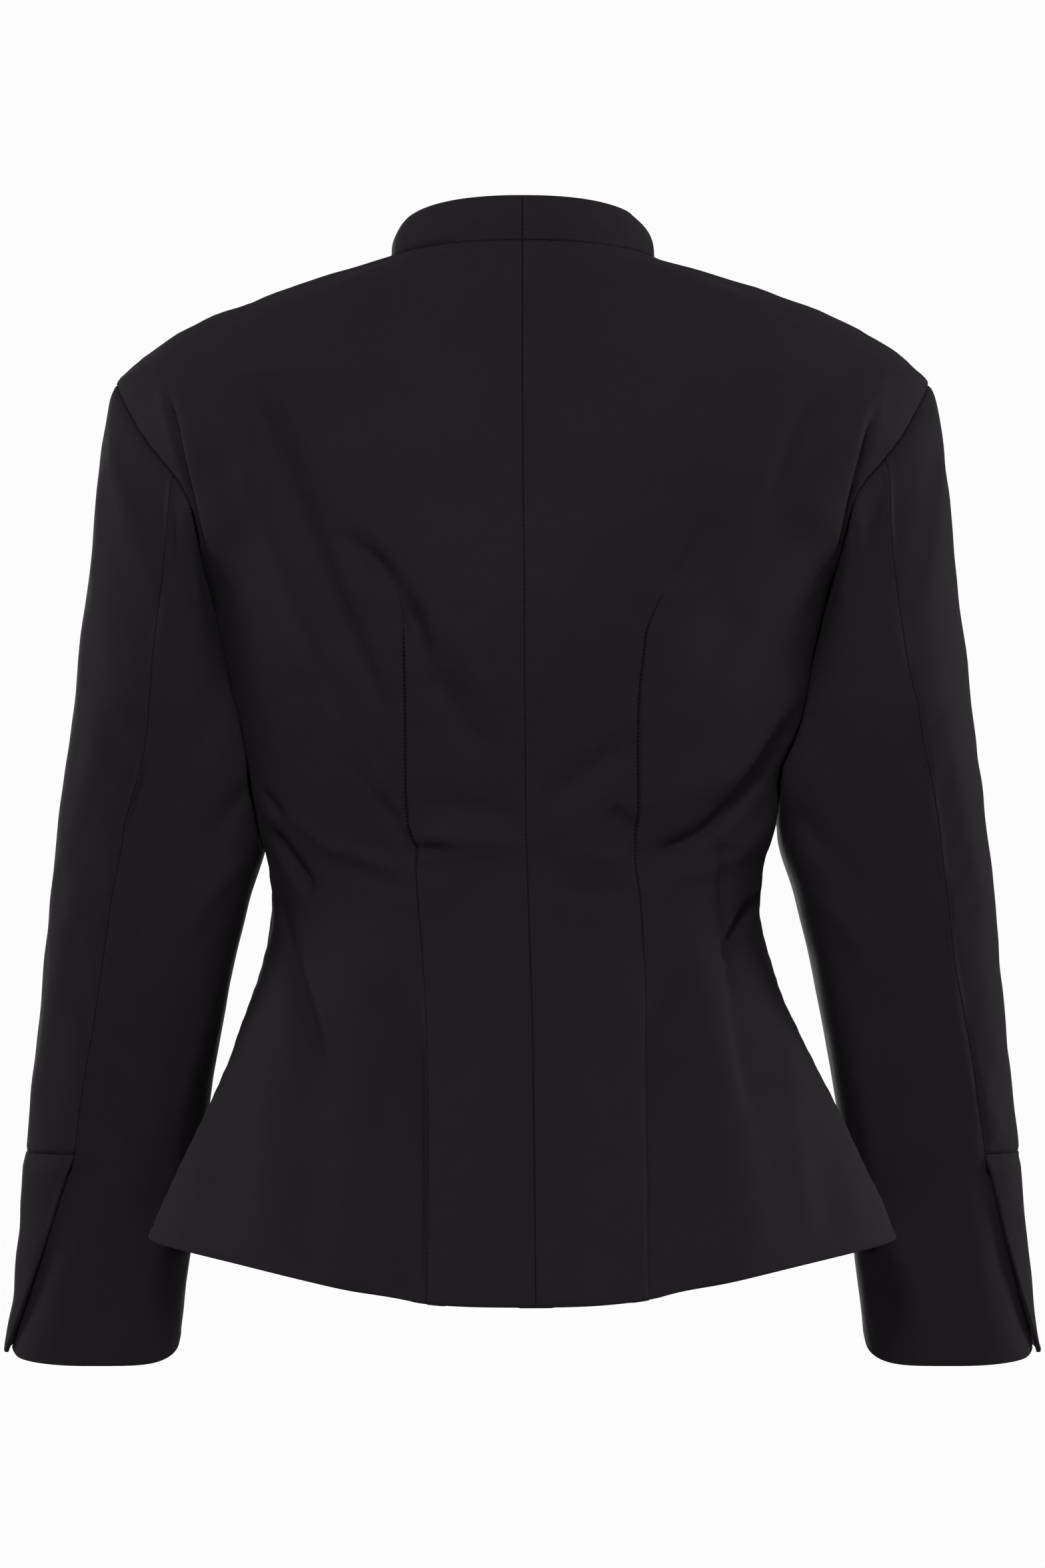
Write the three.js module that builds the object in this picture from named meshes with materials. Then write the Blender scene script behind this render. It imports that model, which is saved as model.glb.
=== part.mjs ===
// A fitted long-sleeved jacket, filled out as it is when worn: stand collar, padded shoulders,
// two-piece sleeves with a vent at the cuff, waist darts that run on to the hem as seams, and a
// flared skirt below the waist. Millimetres, +Z up, the front faces -Y, the wearer's left is +X.
// The origin is midway between the two points where the collar meets the shoulder seams.
import * as THREE from "three";

// Cloth and seams
const CLOTH = 2; // fused suiting with its turned edges
const COLLAR_CLOTH = 2.6;
const SEAM_GAP = 0.3;
const SLEEVE_CLEAR = 4; // air between the hanging sleeve and the body
const CAP_CLEAR = 0.6; // air at the armhole seam, where the edges are cut at a slant
const BESIDE = { above: 2, below: 10 }; // the sleeve is kept clear this far past the side seam

// Levels on the body, measured from the side of the neck
const NAPE_Z = 5;
const TIP_Z = -74; // end of the shoulder, where the sleeve is set in
const UNDERARM_Z = -215;
const CAP_MIDDLE = (TIP_Z + UNDERARM_Z) / 2;
const WAIST_Z = -345;
const HEM = { side: -570, back: -598, front: -590, curve: 3.6 };

// The neckline seen from above, and the collar that stands on it
const NECK = { halfWidth: 77, y: 2, back: 60, front: 60 };
const COLLAR = { height: 25, leanX: 0.82, leanY: 0.96, forward: 2, bow: 0.8, seat: 0.35, endGap: 3 };
const COLLAR_ROWS = [0, 0.45, 0.78, 1]; // shares of its height
const LEAN_LATE = 2.6; // the sides lean in mostly near the top

// The armhole seen from the side: an egg, narrow at the top
const ARMHOLE = { y: 2, back: 52, front: 52, egg: 0.35, foldPower: 2.8 };

// Below the waist the middle of the back stands over the sides at the dart seams, in millimetres.
// It fades away over this many columns.
const PLEAT = { centre: 1.1, side: -1.6, columns: 1.6 };

// Front closing: the right front laps over the left
const LAP = { over: 18, under: 20, sink: 2.8, blendFrom: 24, blendTo: 50 };
const BUTTON = { radius: 9, thick: 3.4, rim: 0.6, bevel: 1.3, sides: 14, count: 5, topZ: -92, pitch: 72 };

// Sleeve: the cap runs from the armhole down to the first full ring, then the tube to the cuff
const CAP_Z = -262;
const CUFF_Z = -644;
const VENT_Z = -525;
const FRONT_SEAM = 145; // degrees round to the front: 0 is outside, 180 against the body
const BACK_SEAM = { left: 78, right: 70 }; // degrees round to the back, at the armhole
const AROUND = { upperFront: 7, upperBack: 5, underBack: 7, underFront: 2 }; // faces round a sleeve
// The sleeve head stands out past the shoulder by puff, most of it within a short rise.
const SLANT = { from: 60, until: 110 }; // degrees round the armhole
const HEAD = { puff: 4, rise: 0.03, round: 0.25, side: 0.3, up: 0.15, clearBy: 0.25 };
const VENT = { endTurn: 11, underlap: 12, sink: 2.2, proud: 1.4, tuck: 10, drop: 24, reach: 30 };
const CUFF_TILT = 0.2; // the cuff slopes down towards the back, across the forearm
const CUFF_CORNER = 4; // its inner corner is rounded up

// How far to each side a surface is measured to find its normal
const BESIDE_POINT = { angle: 0.02, height: 0.8, turn: 0.03, station: 0.01 };
const ABOVE_NECK = 14; // higher than the whole neckline
const HALVINGS = 40; // steps in the search for the neckline's height

// Faces across a body panel, from its middle edge to the dart and on to the side, and rows of
// faces up it
const BACK_COLUMNS = { centre: 5, side: 11 };
const FRONT_COLUMNS = { centre: 6, side: 8 };
const ROWS = { skirt: 11, chest: 7, shoulder: 8 };

// Rows of faces down a sleeve: the stations of its cap, then the tube and the vent
const CAP_STATIONS = [0, 0.04, 0.12, 0.25, 0.4, 0.55, 0.7, 0.85];
const TUBE_ROWS = 12;
const VENT_ROWS = 5;

// A table has named columns and is read smoothly between its rows, by its first column.
function table(names, rows) {
  const sorted = [...rows].sort((a, b) => a[0] - b[0]);
  const columns = names.split(" ").map((name, i) => [name, sorted.map((row) => row[i])]);
  return { keys: sorted.map((row) => row[0]), ...Object.fromEntries(columns) };
}

// Slopes that never make a reading overshoot its rows
function slopes(x, y) {
  const secant = x.slice(1).map((v, i) => (y[i + 1] - y[i]) / (v - x[i]));
  return x.map((_, i) => {
    if (i === 0) return secant[0];
    if (i === x.length - 1) return secant[i - 1];
    const [a, b] = [secant[i - 1], secant[i]];
    return a * b <= 0 ? 0 : (2 * a * b) / (a + b);
  });
}

function look(t, column, key) {
  const x = t.keys;
  const y = t[column];
  const m = (t.slopeOf ??= {})[column] ?? (t.slopeOf[column] = slopes(x, y));
  const last = x.length - 1;
  if (key <= x[0]) return y[0] + m[0] * (key - x[0]);
  if (key >= x[last]) return y[last] + m[last] * (key - x[last]);
  let i = 0;
  while (key > x[i + 1]) i++;
  const h = x[i + 1] - x[i];
  const s = (key - x[i]) / h;
  const rest = 1 - s;
  return (
    y[i] * (1 + 2 * s) * rest * rest + h * m[i] * s * rest * rest +
    y[i + 1] * s * s * (3 - 2 * s) + h * m[i + 1] * s * s * (s - 1)
  );
}

const mix = (a, b, s) => a + (b - a) * s;
const smooth = (from, to, v) => THREE.MathUtils.smoothstep((v - from) / (to - from), 0, 1);
const steps = (from, to, count) => Array.from({ length: count + 1 }, (_, i) => mix(from, to, i / count));

// Level sections of the body: half the width, how far the middle is shifted to the wearer's left,
// the y of the widest place, and how far the back and the front reach. Power 2 is an ellipse and
// more is squarer.
const body = table("z halfWidth shift widestY backY frontY power", [
  [14, 71, 0, 3, 58, -22, 2],
  [6, 74, 0, 3, 61.5, -27, 2],
  [0, 77, 0, 3, 65, -30, 2],
  [-8.6, 106, 0, 2, 68.5, -34, 2],
  [-16.4, 130.5, 0, 2, 72, -38, 2],
  [-24.2, 154, 0, 1, 75, -42, 2],
  [-32, 175.5, 0, 1, 78, -46, 2],
  [-39.8, 192, 0, 0, 80.5, -50, 2.02],
  [-47.6, 206.5, 0, 0, 83, -54, 2.05],
  [-55.4, 218, 0, 0, 85, -58, 2.08],
  [-63.2, 227.5, 0, 0, 87, -62, 2.1],
  [-74, 237.5, 0, 0, 89.5, -68, 2.15],
  [-100, 234, 0, 0, 94.5, -84, 2.25],
  [-118, 225.5, 0, 1, 98, -95, 2.35],
  [-145, 206, 0, 2, 101.5, -110, 2.4],
  [-170, 188, 0.5, 3, 104, -121, 2.4],
  [-195, 179, 1, 4, 104.5, -130, 2.35],
  [-215, 174, 1.5, 5, 103, -135, 2.3],
  [-240, 168, 2.2, 8, 100, -137, 2.25],
  [-262, 163.5, 2.4, 10, 96.5, -134, 2.2],
  [-282, 159.5, 2.4, 10, 92, -129, 2.2],
  [-300, 156, 2.6, 10, 88, -123, 2.2],
  [-335, 150, 3.2, 6, 81, -113, 2.15],
  [-358, 144, 3.6, 2, 78, -109, 2.1],
  [-380, 142.5, 3.8, 0, 79, -108, 2.1],
  [-396, 144.5, 3.6, 2, 82, -110, 2.1],
  [-414, 149, 3.2, 5, 87, -113, 2.1],
  [-434, 155, 2.6, 8, 93, -117, 2.1],
  [-453, 162.5, 2, 12, 99, -121, 2.08],
  [-473, 172, 1, 15, 105.5, -125, 2.05],
  [-492, 181.5, 0, 18, 112, -129, 2.02],
  [-512, 191, 0, 21, 119, -133, 2],
  [-531, 200, 0, 24, 126, -137, 1.98],
  [-551, 209, 0, 27, 133, -141, 1.95],
  [-570, 217, 0, 29, 140, -144, 1.93],
  [-600, 231, 0, 31, 150, -151, 1.9],
]);

// Seams on the back, as distances from the middle: positive is the wearer's left
const backSeams = table("z centre leftDart rightDart", [
  [5, 0, 46, -46],
  [-74, 0, 78, -78],
  [-150, -0.5, 84, -88],
  [-188, -1, 76, -86],
  [-205, -1, 70, -77],
  [-223, -1, 68, -70],
  [-280, -1.5, 67, -66],
  [-332, -2, 67, -66],
  [-348, -2.5, 63, -67],
  [-395, -4, 58, -69],
  [-440, -5.5, 55, -71],
  [-510, -6.5, 53.5, -71.5],
  [-600, -7.5, 53.5, -71],
]);
const frontSeams = table("z dart", [
  [0, 52],
  [-62, 66],
  [-150, 80],
  [-240, 82],
  [-300, 74],
  [-345, 66],
  [-420, 70],
  [-500, 78],
  [-600, 88],
]);
const BACK_DART_TIP = -200;
const FRONT_DART_TIP = -262;

// The largest folds. Each runs from one place to another over the back (face 1) or front (-1),
// with its height (minus for a trough) and how wide it is to the left and right of its line.
const folds = table("face x0 z0 x1 z1 height left right", [
  [1, 200, -92, 180, -165, 4, 7, 26],
  [1, 180, -165, 149, -310, 4, 8, 28],
  [1, -199, -92, -177, -165, 4, 26, 7],
  [1, -177, -165, -144, -310, 4, 28, 8],
  [1, 152, -90, 97, -217, -3.5, 17, 17],
  [1, 120, -262, 80, -336, -4, 15, 15],
  [1, -78, -347, -143, -305, -5, 15, 17],
  [1, -90, -322, -148, -262, 3.5, 18, 18],
  [1, 138, -445, 142, -556, 5, 17, 17],
  [1, -100, -405, -127, -556, 5, 15, 17],
  [1, 76, -440, 80, -600, -5, 15, 15],
  [1, -92, -440, -97, -600, -5, 15, 15],
  [-1, 120, -420, 138, -590, 5, 18, 18],
  [-1, -118, -420, -134, -590, 5, 18, 18],
  [-1, 102, -420, 106, -590, -3, 16, 16],
  [-1, -99, -420, -102, -590, -3, 16, 16],
]);

const FOLD_FADE = 22; // a fold dies away over this length past its ends

function foldHeight(x, z, face) {
  let total = 0;
  for (let i = 0; i < folds.face.length; i++) {
    if (folds.face[i] !== face) continue;
    const [dx, dz] = [folds.x1[i] - folds.x0[i], folds.z1[i] - folds.z0[i]];
    const length = Math.hypot(dx, dz);
    const [px, pz] = [x - folds.x0[i], z - folds.z0[i]];
    const along = (px * dx + pz * dz) / length;
    const across = (px * dz - pz * dx) / length;
    const past = Math.max(-along, along - length, 0);
    const wide = across < 0 ? folds.left[i] : folds.right[i];
    total += folds.height[i] * Math.exp(-((past / FOLD_FADE) ** 2) - (across / wide) ** 2);
  }
  return total;
}

function section(z, face) {
  const half = look(body, "halfWidth", z);
  const widest = look(body, "widestY", z);
  const reach = face > 0 ? look(body, "backY", z) - widest : widest - look(body, "frontY", z);
  return { half, widest, reach, power: look(body, "power", z), shift: look(body, "shift", z) };
}

// A place on the body: the angle goes round the section from the side (0) to the middle (90).
// step is added to the section's radius, and hand is 1 for the wearer's left and -1 for the right.
function bodyPoint(angle, z, face, hand, step = 0) {
  const { half, widest, reach, power, shift } = section(z, face);
  const [c, s] = [Math.cos(angle), Math.sin(angle)];
  const radius = ((Math.abs(c) / half) ** power + (Math.abs(s) / reach) ** power) ** (-1 / power);
  const grown = radius + step + foldHeight(hand * radius * c + shift, z, face);
  return new THREE.Vector3(hand * grown * c + shift, widest + face * grown * s, z);
}

// The angle at which the section at z passes a distance from the middle, on the given hand.
function angleAt(distance, z, face, hand) {
  const { half, reach, power, shift } = section(z, face);
  const x = distance - hand * shift;
  const share = Math.min(Math.abs(x) / half, 1);
  return Math.atan2(reach * (1 - share ** power) ** (1 / power), x);
}

// The outward normal of a surface, from places a little to each side of one place
function normalOf(place, a, b, da, db, out) {
  const du = place(a + da, b).sub(place(a - da, b));
  const dv = place(a, b + db).sub(place(a, b - db));
  const n = du.cross(dv).normalize();
  return n.dot(out) < 0 ? n.negate() : n;
}

function bodyNormal(angle, z, face, hand, step = 0) {
  const place = (a, b) => bodyPoint(a, b, face, hand, step);
  const out = new THREE.Vector3(hand * Math.cos(angle), face * Math.sin(angle), 0);
  return normalOf(place, angle, z, BESIDE_POINT.angle, BESIDE_POINT.height, out);
}

// The place on the neckline at a turn of psi round the neck: 0 at the side, 90 at the middle.
// Its height is where the shoulders pass through the neck's outline seen from above.
function neckPlace(psi, face) {
  const x = NECK.halfWidth * Math.cos(psi);
  const y = NECK.y + face * (face > 0 ? NECK.back : NECK.front) * Math.sin(psi);
  let [low, high] = [TIP_Z, ABOVE_NECK];
  for (let i = 0; i < HALVINGS; i++) {
    const z = (low + high) / 2;
    const { half, widest, reach, power } = section(z, face);
    const inside = (Math.abs(x) / half) ** power + (Math.abs(y - widest) / reach) ** power < 1;
    if (inside) low = z;
    else high = z;
  }
  const z = Math.min(low, face > 0 ? NAPE_Z : 0);
  return { x, y, z, angle: Math.atan2(face * (y - look(body, "widestY", z)), x) };
}

// The armhole at a turn of phi round the arm: 0 at the shoulder, 180 under the arm.
function armholePlace(phi, face) {
  const z = CAP_MIDDLE + (TIP_Z - CAP_MIDDLE) * Math.cos(phi);
  const [c, s] = [Math.cos(phi), Math.abs(Math.sin(phi))];
  // The back of the body folds out over the lower armhole, so that half of its edge is cut in.
  const spread = face > 0 && c < 0 ? s ** ARMHOLE.foldPower : s * (1 - ARMHOLE.egg * c);
  const y = ARMHOLE.y + face * (face > 0 ? ARMHOLE.back : ARMHOLE.front) * spread;
  const { half, widest, reach, power } = section(z, face);
  const away = Math.max(face * (y - widest), 0);
  const x = half * (1 - Math.min(away / reach, 1) ** power) ** (1 / power);
  return { z, angle: Math.atan2(away, x) };
}

// A closed cloth wall from its outer points. Each point carries the way to its inner point, and
// each face is four point numbers. Every open edge gets a side wall.
function clothWall(points, faces) {
  const count = points.length;
  const positions = new Float32Array(count * 6);
  points.forEach(({ at, inward }, i) => {
    at.toArray(positions, i * 3);
    at.clone().add(inward).toArray(positions, (count + i) * 3);
  });
  const index = [];
  const open = new Map();
  for (const [a, b, c, d] of faces) {
    const shortWay = points[a].at.distanceTo(points[c].at) <= points[b].at.distanceTo(points[d].at);
    const halves = shortWay ? [[a, b, c], [a, c, d]] : [[a, b, d], [b, c, d]];
    for (const [p, q, r] of halves) {
      index.push(p, q, r, count + p, count + r, count + q);
      for (const [from, to] of [[p, q], [q, r], [r, p]]) {
        if (!open.delete(`${to},${from}`)) open.set(`${from},${to}`, [from, to]);
      }
    }
  }
  for (const [from, to] of open.values()) {
    index.push(to, from, count + from, to, count + from, count + to);
  }
  const geometry = new THREE.BufferGeometry();
  geometry.setAttribute("position", new THREE.BufferAttribute(positions, 3));
  geometry.setIndex(index);
  geometry.computeVertexNormals();
  return geometry;
}

// The rows of a body panel, from the hem up: along the side seam, round the armhole, then in
// along the shoulder seam to the neck. Each row says where its outer end is.
function panelRows(face, hand) {
  const skirt = steps(HEM.side, WAIST_Z, ROWS.skirt).map((z) => ({ z, angle: 0 }));
  const chest = steps(WAIST_Z, UNDERARM_Z, ROWS.chest).slice(1).map((z) => ({ z, angle: 0 }));
  const seam = face > 0 ? BACK_SEAM[hand > 0 ? "left" : "right"] : FRONT_SEAM;
  const under = face > 0 ? AROUND.underBack : AROUND.underFront;
  const upper = face > 0 ? AROUND.upperBack : AROUND.upperFront;
  const turns = [...steps(180, seam, under).slice(1), ...steps(seam, 0, upper).slice(1)];
  const armhole = turns.map((turn) => armholePlace(THREE.MathUtils.degToRad(turn), face));
  const shoulder = steps(TIP_Z, 0, ROWS.shoulder).slice(1).map((z) => ({ z, angle: 0 }));
  return [...skirt, ...chest, ...armhole, ...shoulder];
}

// Turns round the neck of a panel's points: from the middle to the dart's line, then to the side.
function neckTurns(centreX, dartX, columns) {
  const [centre, dart] = [centreX, dartX].map((x) => Math.acos(x / NECK.halfWidth));
  return [...steps(centre, dart, columns.centre), ...steps(dart, 0, columns.side).slice(1)];
}

// The height of the middle of a row whose outer end is at z.
function middleHeight(z, face, neckZ) {
  const hemZ = face > 0 ? HEM.back : HEM.front;
  if (z < WAIST_Z) return mix(WAIST_Z, hemZ, (WAIST_Z - z) / (WAIST_Z - HEM.side));
  if (z < UNDERARM_Z) return z;
  return mix(UNDERARM_Z, neckZ, (z - UNDERARM_Z) / -UNDERARM_Z);
}

// Half of the back or front, cut in one piece with its dart slit open from the hem to its tip.
// centreX and dartX give the distances of its two seams from the middle at a height, and sinkAt
// says how far the cloth is moved in or out.
function bodyPanel({ face, hand, centreX, dartX, dartTip, columns, sinkAt }) {
  const neck = neckTurns(centreX(0), dartX(0), columns).map((psi) => neckPlace(psi, face));
  const last = columns.centre + columns.side;
  const angleOf = (j, z, outer, gap) => {
    const dart = angleAt(dartX(z) + gap, z, face, hand);
    if (j > columns.centre) return mix(dart, outer, (j - columns.centre) / columns.side);
    const middle = angleAt(centreX(z) + SEAM_GAP / 2, z, face, hand);
    return j === columns.centre && gap >= 0 ? dart : mix(middle, dart, j / columns.centre);
  };
  // How much of the way a row has climbed from its middle to its outer end
  const climb = (row, j) => {
    if (row.z > WAIST_Z) return (neck[j].z - neck[0].z) / (neck[last].z - neck[0].z);
    return Math.abs(Math.cos(angleOf(j, row.z, 0, 0))) ** HEM.curve;
  };

  const rows = panelRows(face, hand).map((row, i, all) => {
    const outer = row.angle || SEAM_GAP / 2 / section(row.z, face).half;
    const line = [];
    for (let j = 0; j <= last; j++) {
      const z = mix(middleHeight(row.z, face, neck[0].z), row.z, climb(row, j));
      const open = j === columns.centre && z < dartTip;
      const edges = open ? [-1, 1] : [j < columns.centre ? -1 : 1];
      for (const edge of edges) {
        const atNeck = i === all.length - 1 && j < last;
        const angle = atNeck ? neck[j].angle : angleOf(j, z, outer, open ? (edge * SEAM_GAP) / 2 : 0);
        const near = z < dartTip ? Math.exp(-Math.abs(j - columns.centre) / PLEAT.columns) : 0;
        const raise = edge < 0 ? PLEAT.centre : PLEAT.side;
        const pleat = face > 0 ? near * raise * smooth(WAIST_Z, HEM.side, z) : 0;
        const at = bodyPoint(angle, z, face, hand, pleat + sinkAt(angle, z));
        line.push({ at, inward: bodyNormal(angle, z, face, hand).multiplyScalar(-CLOTH) });
      }
    }
    return line;
  });
  return panelWall(rows, columns.centre);
}

// The wall of a grid of points. A row that is open at a slit has two points in that column, and
// the faces on each side take their own.
function panelWall(rows, slitColumn = -1) {
  const points = rows.flat();
  const number = new Map(points.map((point, i) => [point, i]));
  const width = Math.min(...rows.map((row) => row.length));
  const pick = (row, j, beyond) => {
    const extra = row.length - width;
    return row[j + (j > slitColumn || (j === slitColumn && beyond) ? extra : 0)];
  };
  const faces = [];
  let outward = 0;
  for (let i = 0; i + 1 < rows.length; i++) {
    for (let j = 0; j + 1 < width; j++) {
      const corners = [[i, j], [i, j + 1], [i + 1, j + 1], [i + 1, j]];
      const ring = corners.map(([row, column]) => pick(rows[row], column, j >= slitColumn));
      const across = ring[1].at.clone().sub(ring[0].at);
      const up = ring[3].at.clone().sub(ring[0].at);
      outward -= Math.sign(across.cross(up).dot(ring[0].inward));
      faces.push(ring.map((point) => number.get(point)));
    }
  }
  return clothWall(points, outward > 0 ? faces : faces.map((face) => face.reverse()));
}

// Rings of the sleeve below the cap: its inner and outer sides seen from behind, the y of its
// middle, and half its depth.
const sleeve = table("z inner outer y depth", [
  [-262, 160, 263.5, -12, 60],
  [-300, 149.5, 268.7, -13, 55],
  [-336, 150, 273.4, -16, 50],
  [-375, 161.5, 277.8, -20, 47],
  [-415, 170.5, 282, -26, 45],
  [-455, 178.5, 286.6, -33, 43],
  [-495, 186.5, 291.3, -40, 41],
  [-535, 191.5, 295.6, -47, 39.5],
  [-575, 196, 298.8, -54, 38],
  [-615, 201.5, 303.4, -60, 37],
  [-652, 205.5, 308, -65, 36.5],
]);
// Degrees round each sleeve of its elbow seam, by height
const elbowSeam = table("z left right", [
  [CAP_MIDDLE, BACK_SEAM.left, BACK_SEAM.right],
  [-190, 82, 75],
  [-235, 84.5, 76],
  [-262, 86.8, 73.5],
  [-285, 83, 69],
  [-303, 79.5, 65.6],
  [-340, 73.4, 62.8],
  [-372, 72.9, 64],
  [-410, 72.6, 64.6],
  [-440, 72.1, 62.3],
  [-480, 70.3, 59.4],
  [-525, 69.2, 58.1],
  [-640, 69, 58],
]);
const SLEEVE_POWER = { outer: 2.2, inner: 3.8 }; // 2 is an ellipse and more is squarer
// Above the waist the sleeve lies against the body, this much further in than its table says.
const TUCK = { left: 4, right: 10, from: -336, full: -300 };
const SLEEVE_RADIUS = 48; // about half way down, for the width of its seams
const power = (v, p) => Math.sign(v) * Math.abs(v) ** p;

// Half the width of the body at a y and z, or nothing where the body doesn't reach.
function bodyWidthAt(y, z, hand) {
  const widest = look(body, "widestY", z);
  const face = y >= widest ? 1 : -1;
  const { half, reach, power: squareness, shift } = section(z, face);
  const share = Math.abs(y - widest) / reach;
  if (share >= 1) return 0;
  const x = half * (1 - share ** squareness) ** (1 / squareness);
  return x + hand * shift + Math.max(foldHeight(hand * x + shift, z, face), 0) * (x / half);
}

// A place on the sleeve. station 0 to 1 is the cap and 1 to 2 the tube; phi is in radians.
function sleevePoint(phi, station, hand, step = 0) {
  const [c, s] = [Math.cos(phi), Math.sin(phi)];
  const tuck = c < 0 ? TUCK[hand > 0 ? "left" : "right"] : 0;
  const ring = (z) => {
    const [inner, outer] = [look(sleeve, "inner", z), look(sleeve, "outer", z)];
    const depth = look(sleeve, "depth", z) + step;
    const bend = 2 / (c < 0 ? SLEEVE_POWER.inner : SLEEVE_POWER.outer);
    const half = (outer - inner) / 2 + tuck * smooth(TUCK.from, TUCK.full, z) + step;
    const y = look(sleeve, "y", z) + depth * power(s, bend);
    const x = (inner + outer) / 2 + half * power(c, bend);
    const slope = CUFF_CORNER * Math.max(-c, 0) ** 3 - CUFF_TILT * (y - look(sleeve, "y", z));
    return new THREE.Vector3(x, y, z + slope * smooth(VENT_Z, CUFF_Z, z));
  };
  if (station > 1) {
    const p = ring(mix(CAP_Z, CUFF_Z, station - 1));
    return clearOfBody(p, hand, SLEEVE_CLEAR);
  }
  const face = s >= 0 ? 1 : -1;
  const { z, angle } = armholePlace(Math.abs(phi), face);
  const start = bodyPoint(angle, z, face, 1);
  start.x += CAP_CLEAR;
  const p = start.lerp(ring(CAP_Z), station);
  const swell = (1 - Math.exp(-station / HEAD.rise)) * (1 - station) * Math.max(c + HEAD.round, 0);
  p.add(new THREE.Vector3(1, HEAD.side * s, HEAD.up).multiplyScalar(HEAD.puff * swell));
  return clearOfBody(p, hand, mix(CAP_CLEAR, SLEEVE_CLEAR, smooth(0, HEAD.clearBy, station)));
}

// Beside the body, a place on the sleeve is moved out to leave some air.
function clearOfBody(p, hand, clear) {
  const beside = p.z < UNDERARM_Z + BESIDE.above && p.z > HEM.side - BESIDE.below;
  if (beside) p.x = Math.max(p.x, bodyWidthAt(p.y, p.z, hand) + clear);
  p.x *= hand;
  return p;
}

// The height of a station, on the cap a rough one, and the station of a height on the tube
const stationAt = (z) => 1 + (z - CAP_Z) / (CUFF_Z - CAP_Z);
function stationZ(station) {
  return station > 1 ? mix(CAP_Z, CUFF_Z, station - 1) : mix(CAP_MIDDLE, CAP_Z, station);
}

// One piece of a sleeve. turnsAt gives the degrees of its points round the sleeve at a height.
function sleevePanel(hand, stations, turnsAt, stepAt) {
  const rows = stations.map((station) => {
    const z = stationZ(station);
    return turnsAt(z, hand).map((degrees) => {
      const phi = THREE.MathUtils.degToRad(degrees > 180 ? degrees - 360 : degrees);
      const step = stepAt(degrees, z);
      const place = (a, b) => sleevePoint(a, b, hand, step);
      const { turn: aside, station: along } = BESIDE_POINT;
      const within = THREE.MathUtils.clamp(station, 1.2 * along, 2 - along);
      const out = new THREE.Vector3(hand * Math.cos(phi), Math.sin(phi), 0);
      const own = normalOf(place, phi, within, aside, along, out);
      // At the top of the armhole the sleeve's edge is cut at the same slant as the body's.
      if (station === 0) {
        const face = phi >= 0 ? 1 : -1;
        const hole = armholePlace(Math.abs(phi), face);
        const shared = bodyNormal(hole.angle, hole.z, face, hand);
        const turn = THREE.MathUtils.radToDeg(Math.abs(phi));
        own.lerp(shared, smooth(SLANT.until, SLANT.from, turn)).normalize();
      }
      return { at: sleevePoint(phi, station, hand, step), inward: own.multiplyScalar(-CLOTH) };
    });
  });
  return panelWall(rows);
}

const tubeStations = steps(1, stationAt(VENT_Z), TUBE_ROWS);
const ventStations = [
  stationAt(VENT_Z - VENT.tuck),
  ...steps(stationAt(VENT_Z - VENT.drop), 2, VENT_ROWS),
];
const seamTurn = THREE.MathUtils.radToDeg(SEAM_GAP / 2 / SLEEVE_RADIUS);
const sunk = (z) => smooth(VENT_Z, VENT_Z - VENT.tuck, z);

// The seam at the back of the sleeve, which leaves the elbow's line at the vent and runs
// straight to the outside of the cuff when it is seen from behind.
function ventTurn(z, hand) {
  const elbow = look(elbowSeam, hand > 0 ? "left" : "right", z);
  if (z > VENT_Z) return elbow;
  const [from, to] = [elbow, VENT.endTurn].map((turn) => Math.cos(THREE.MathUtils.degToRad(turn)));
  const way = (VENT_Z - z) / (VENT_Z - CUFF_Z);
  return THREE.MathUtils.radToDeg(Math.acos(mix(from, to, Math.min(way, 1))));
}

function upperTurns(z, hand) {
  const front = steps(seamTurn - FRONT_SEAM, 0, AROUND.upperFront);
  return [...front, ...steps(0, ventTurn(z, hand) - seamTurn, AROUND.upperBack).slice(1)];
}

function underTurns(z, hand) {
  const lapped = smooth(VENT_Z - VENT.tuck, VENT_Z - VENT.drop, z);
  const edge = ventTurn(z, hand) + seamTurn - VENT.underlap * lapped;
  const back = steps(edge, 180, AROUND.underBack);
  return [...back, ...steps(180, 360 - FRONT_SEAM - seamTurn, AROUND.underFront).slice(1)];
}

function upperSleeve(hand) {
  return sleevePanel(hand, [...CAP_STATIONS, ...tubeStations], upperTurns, () => 0);
}

// The cuff panel hangs from the level seam, over the end of the under sleeve at the vent.
function cuff(hand) {
  const stepAt = (degrees, z) => VENT.proud * sunk(z) * smooth(-60, 10, degrees);
  return sleevePanel(hand, [stationAt(VENT_Z - SEAM_GAP), ...ventStations], upperTurns, stepAt);
}

function underSleeve(hand) {
  const stepAt = (degrees, z) => {
    const line = ventTurn(z, hand);
    return -VENT.sink * sunk(z) * smooth(line + VENT.reach, line, degrees);
  };
  return sleevePanel(hand, [...CAP_STATIONS, ...tubeStations, ...ventStations], underTurns, stepAt);
}

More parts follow.
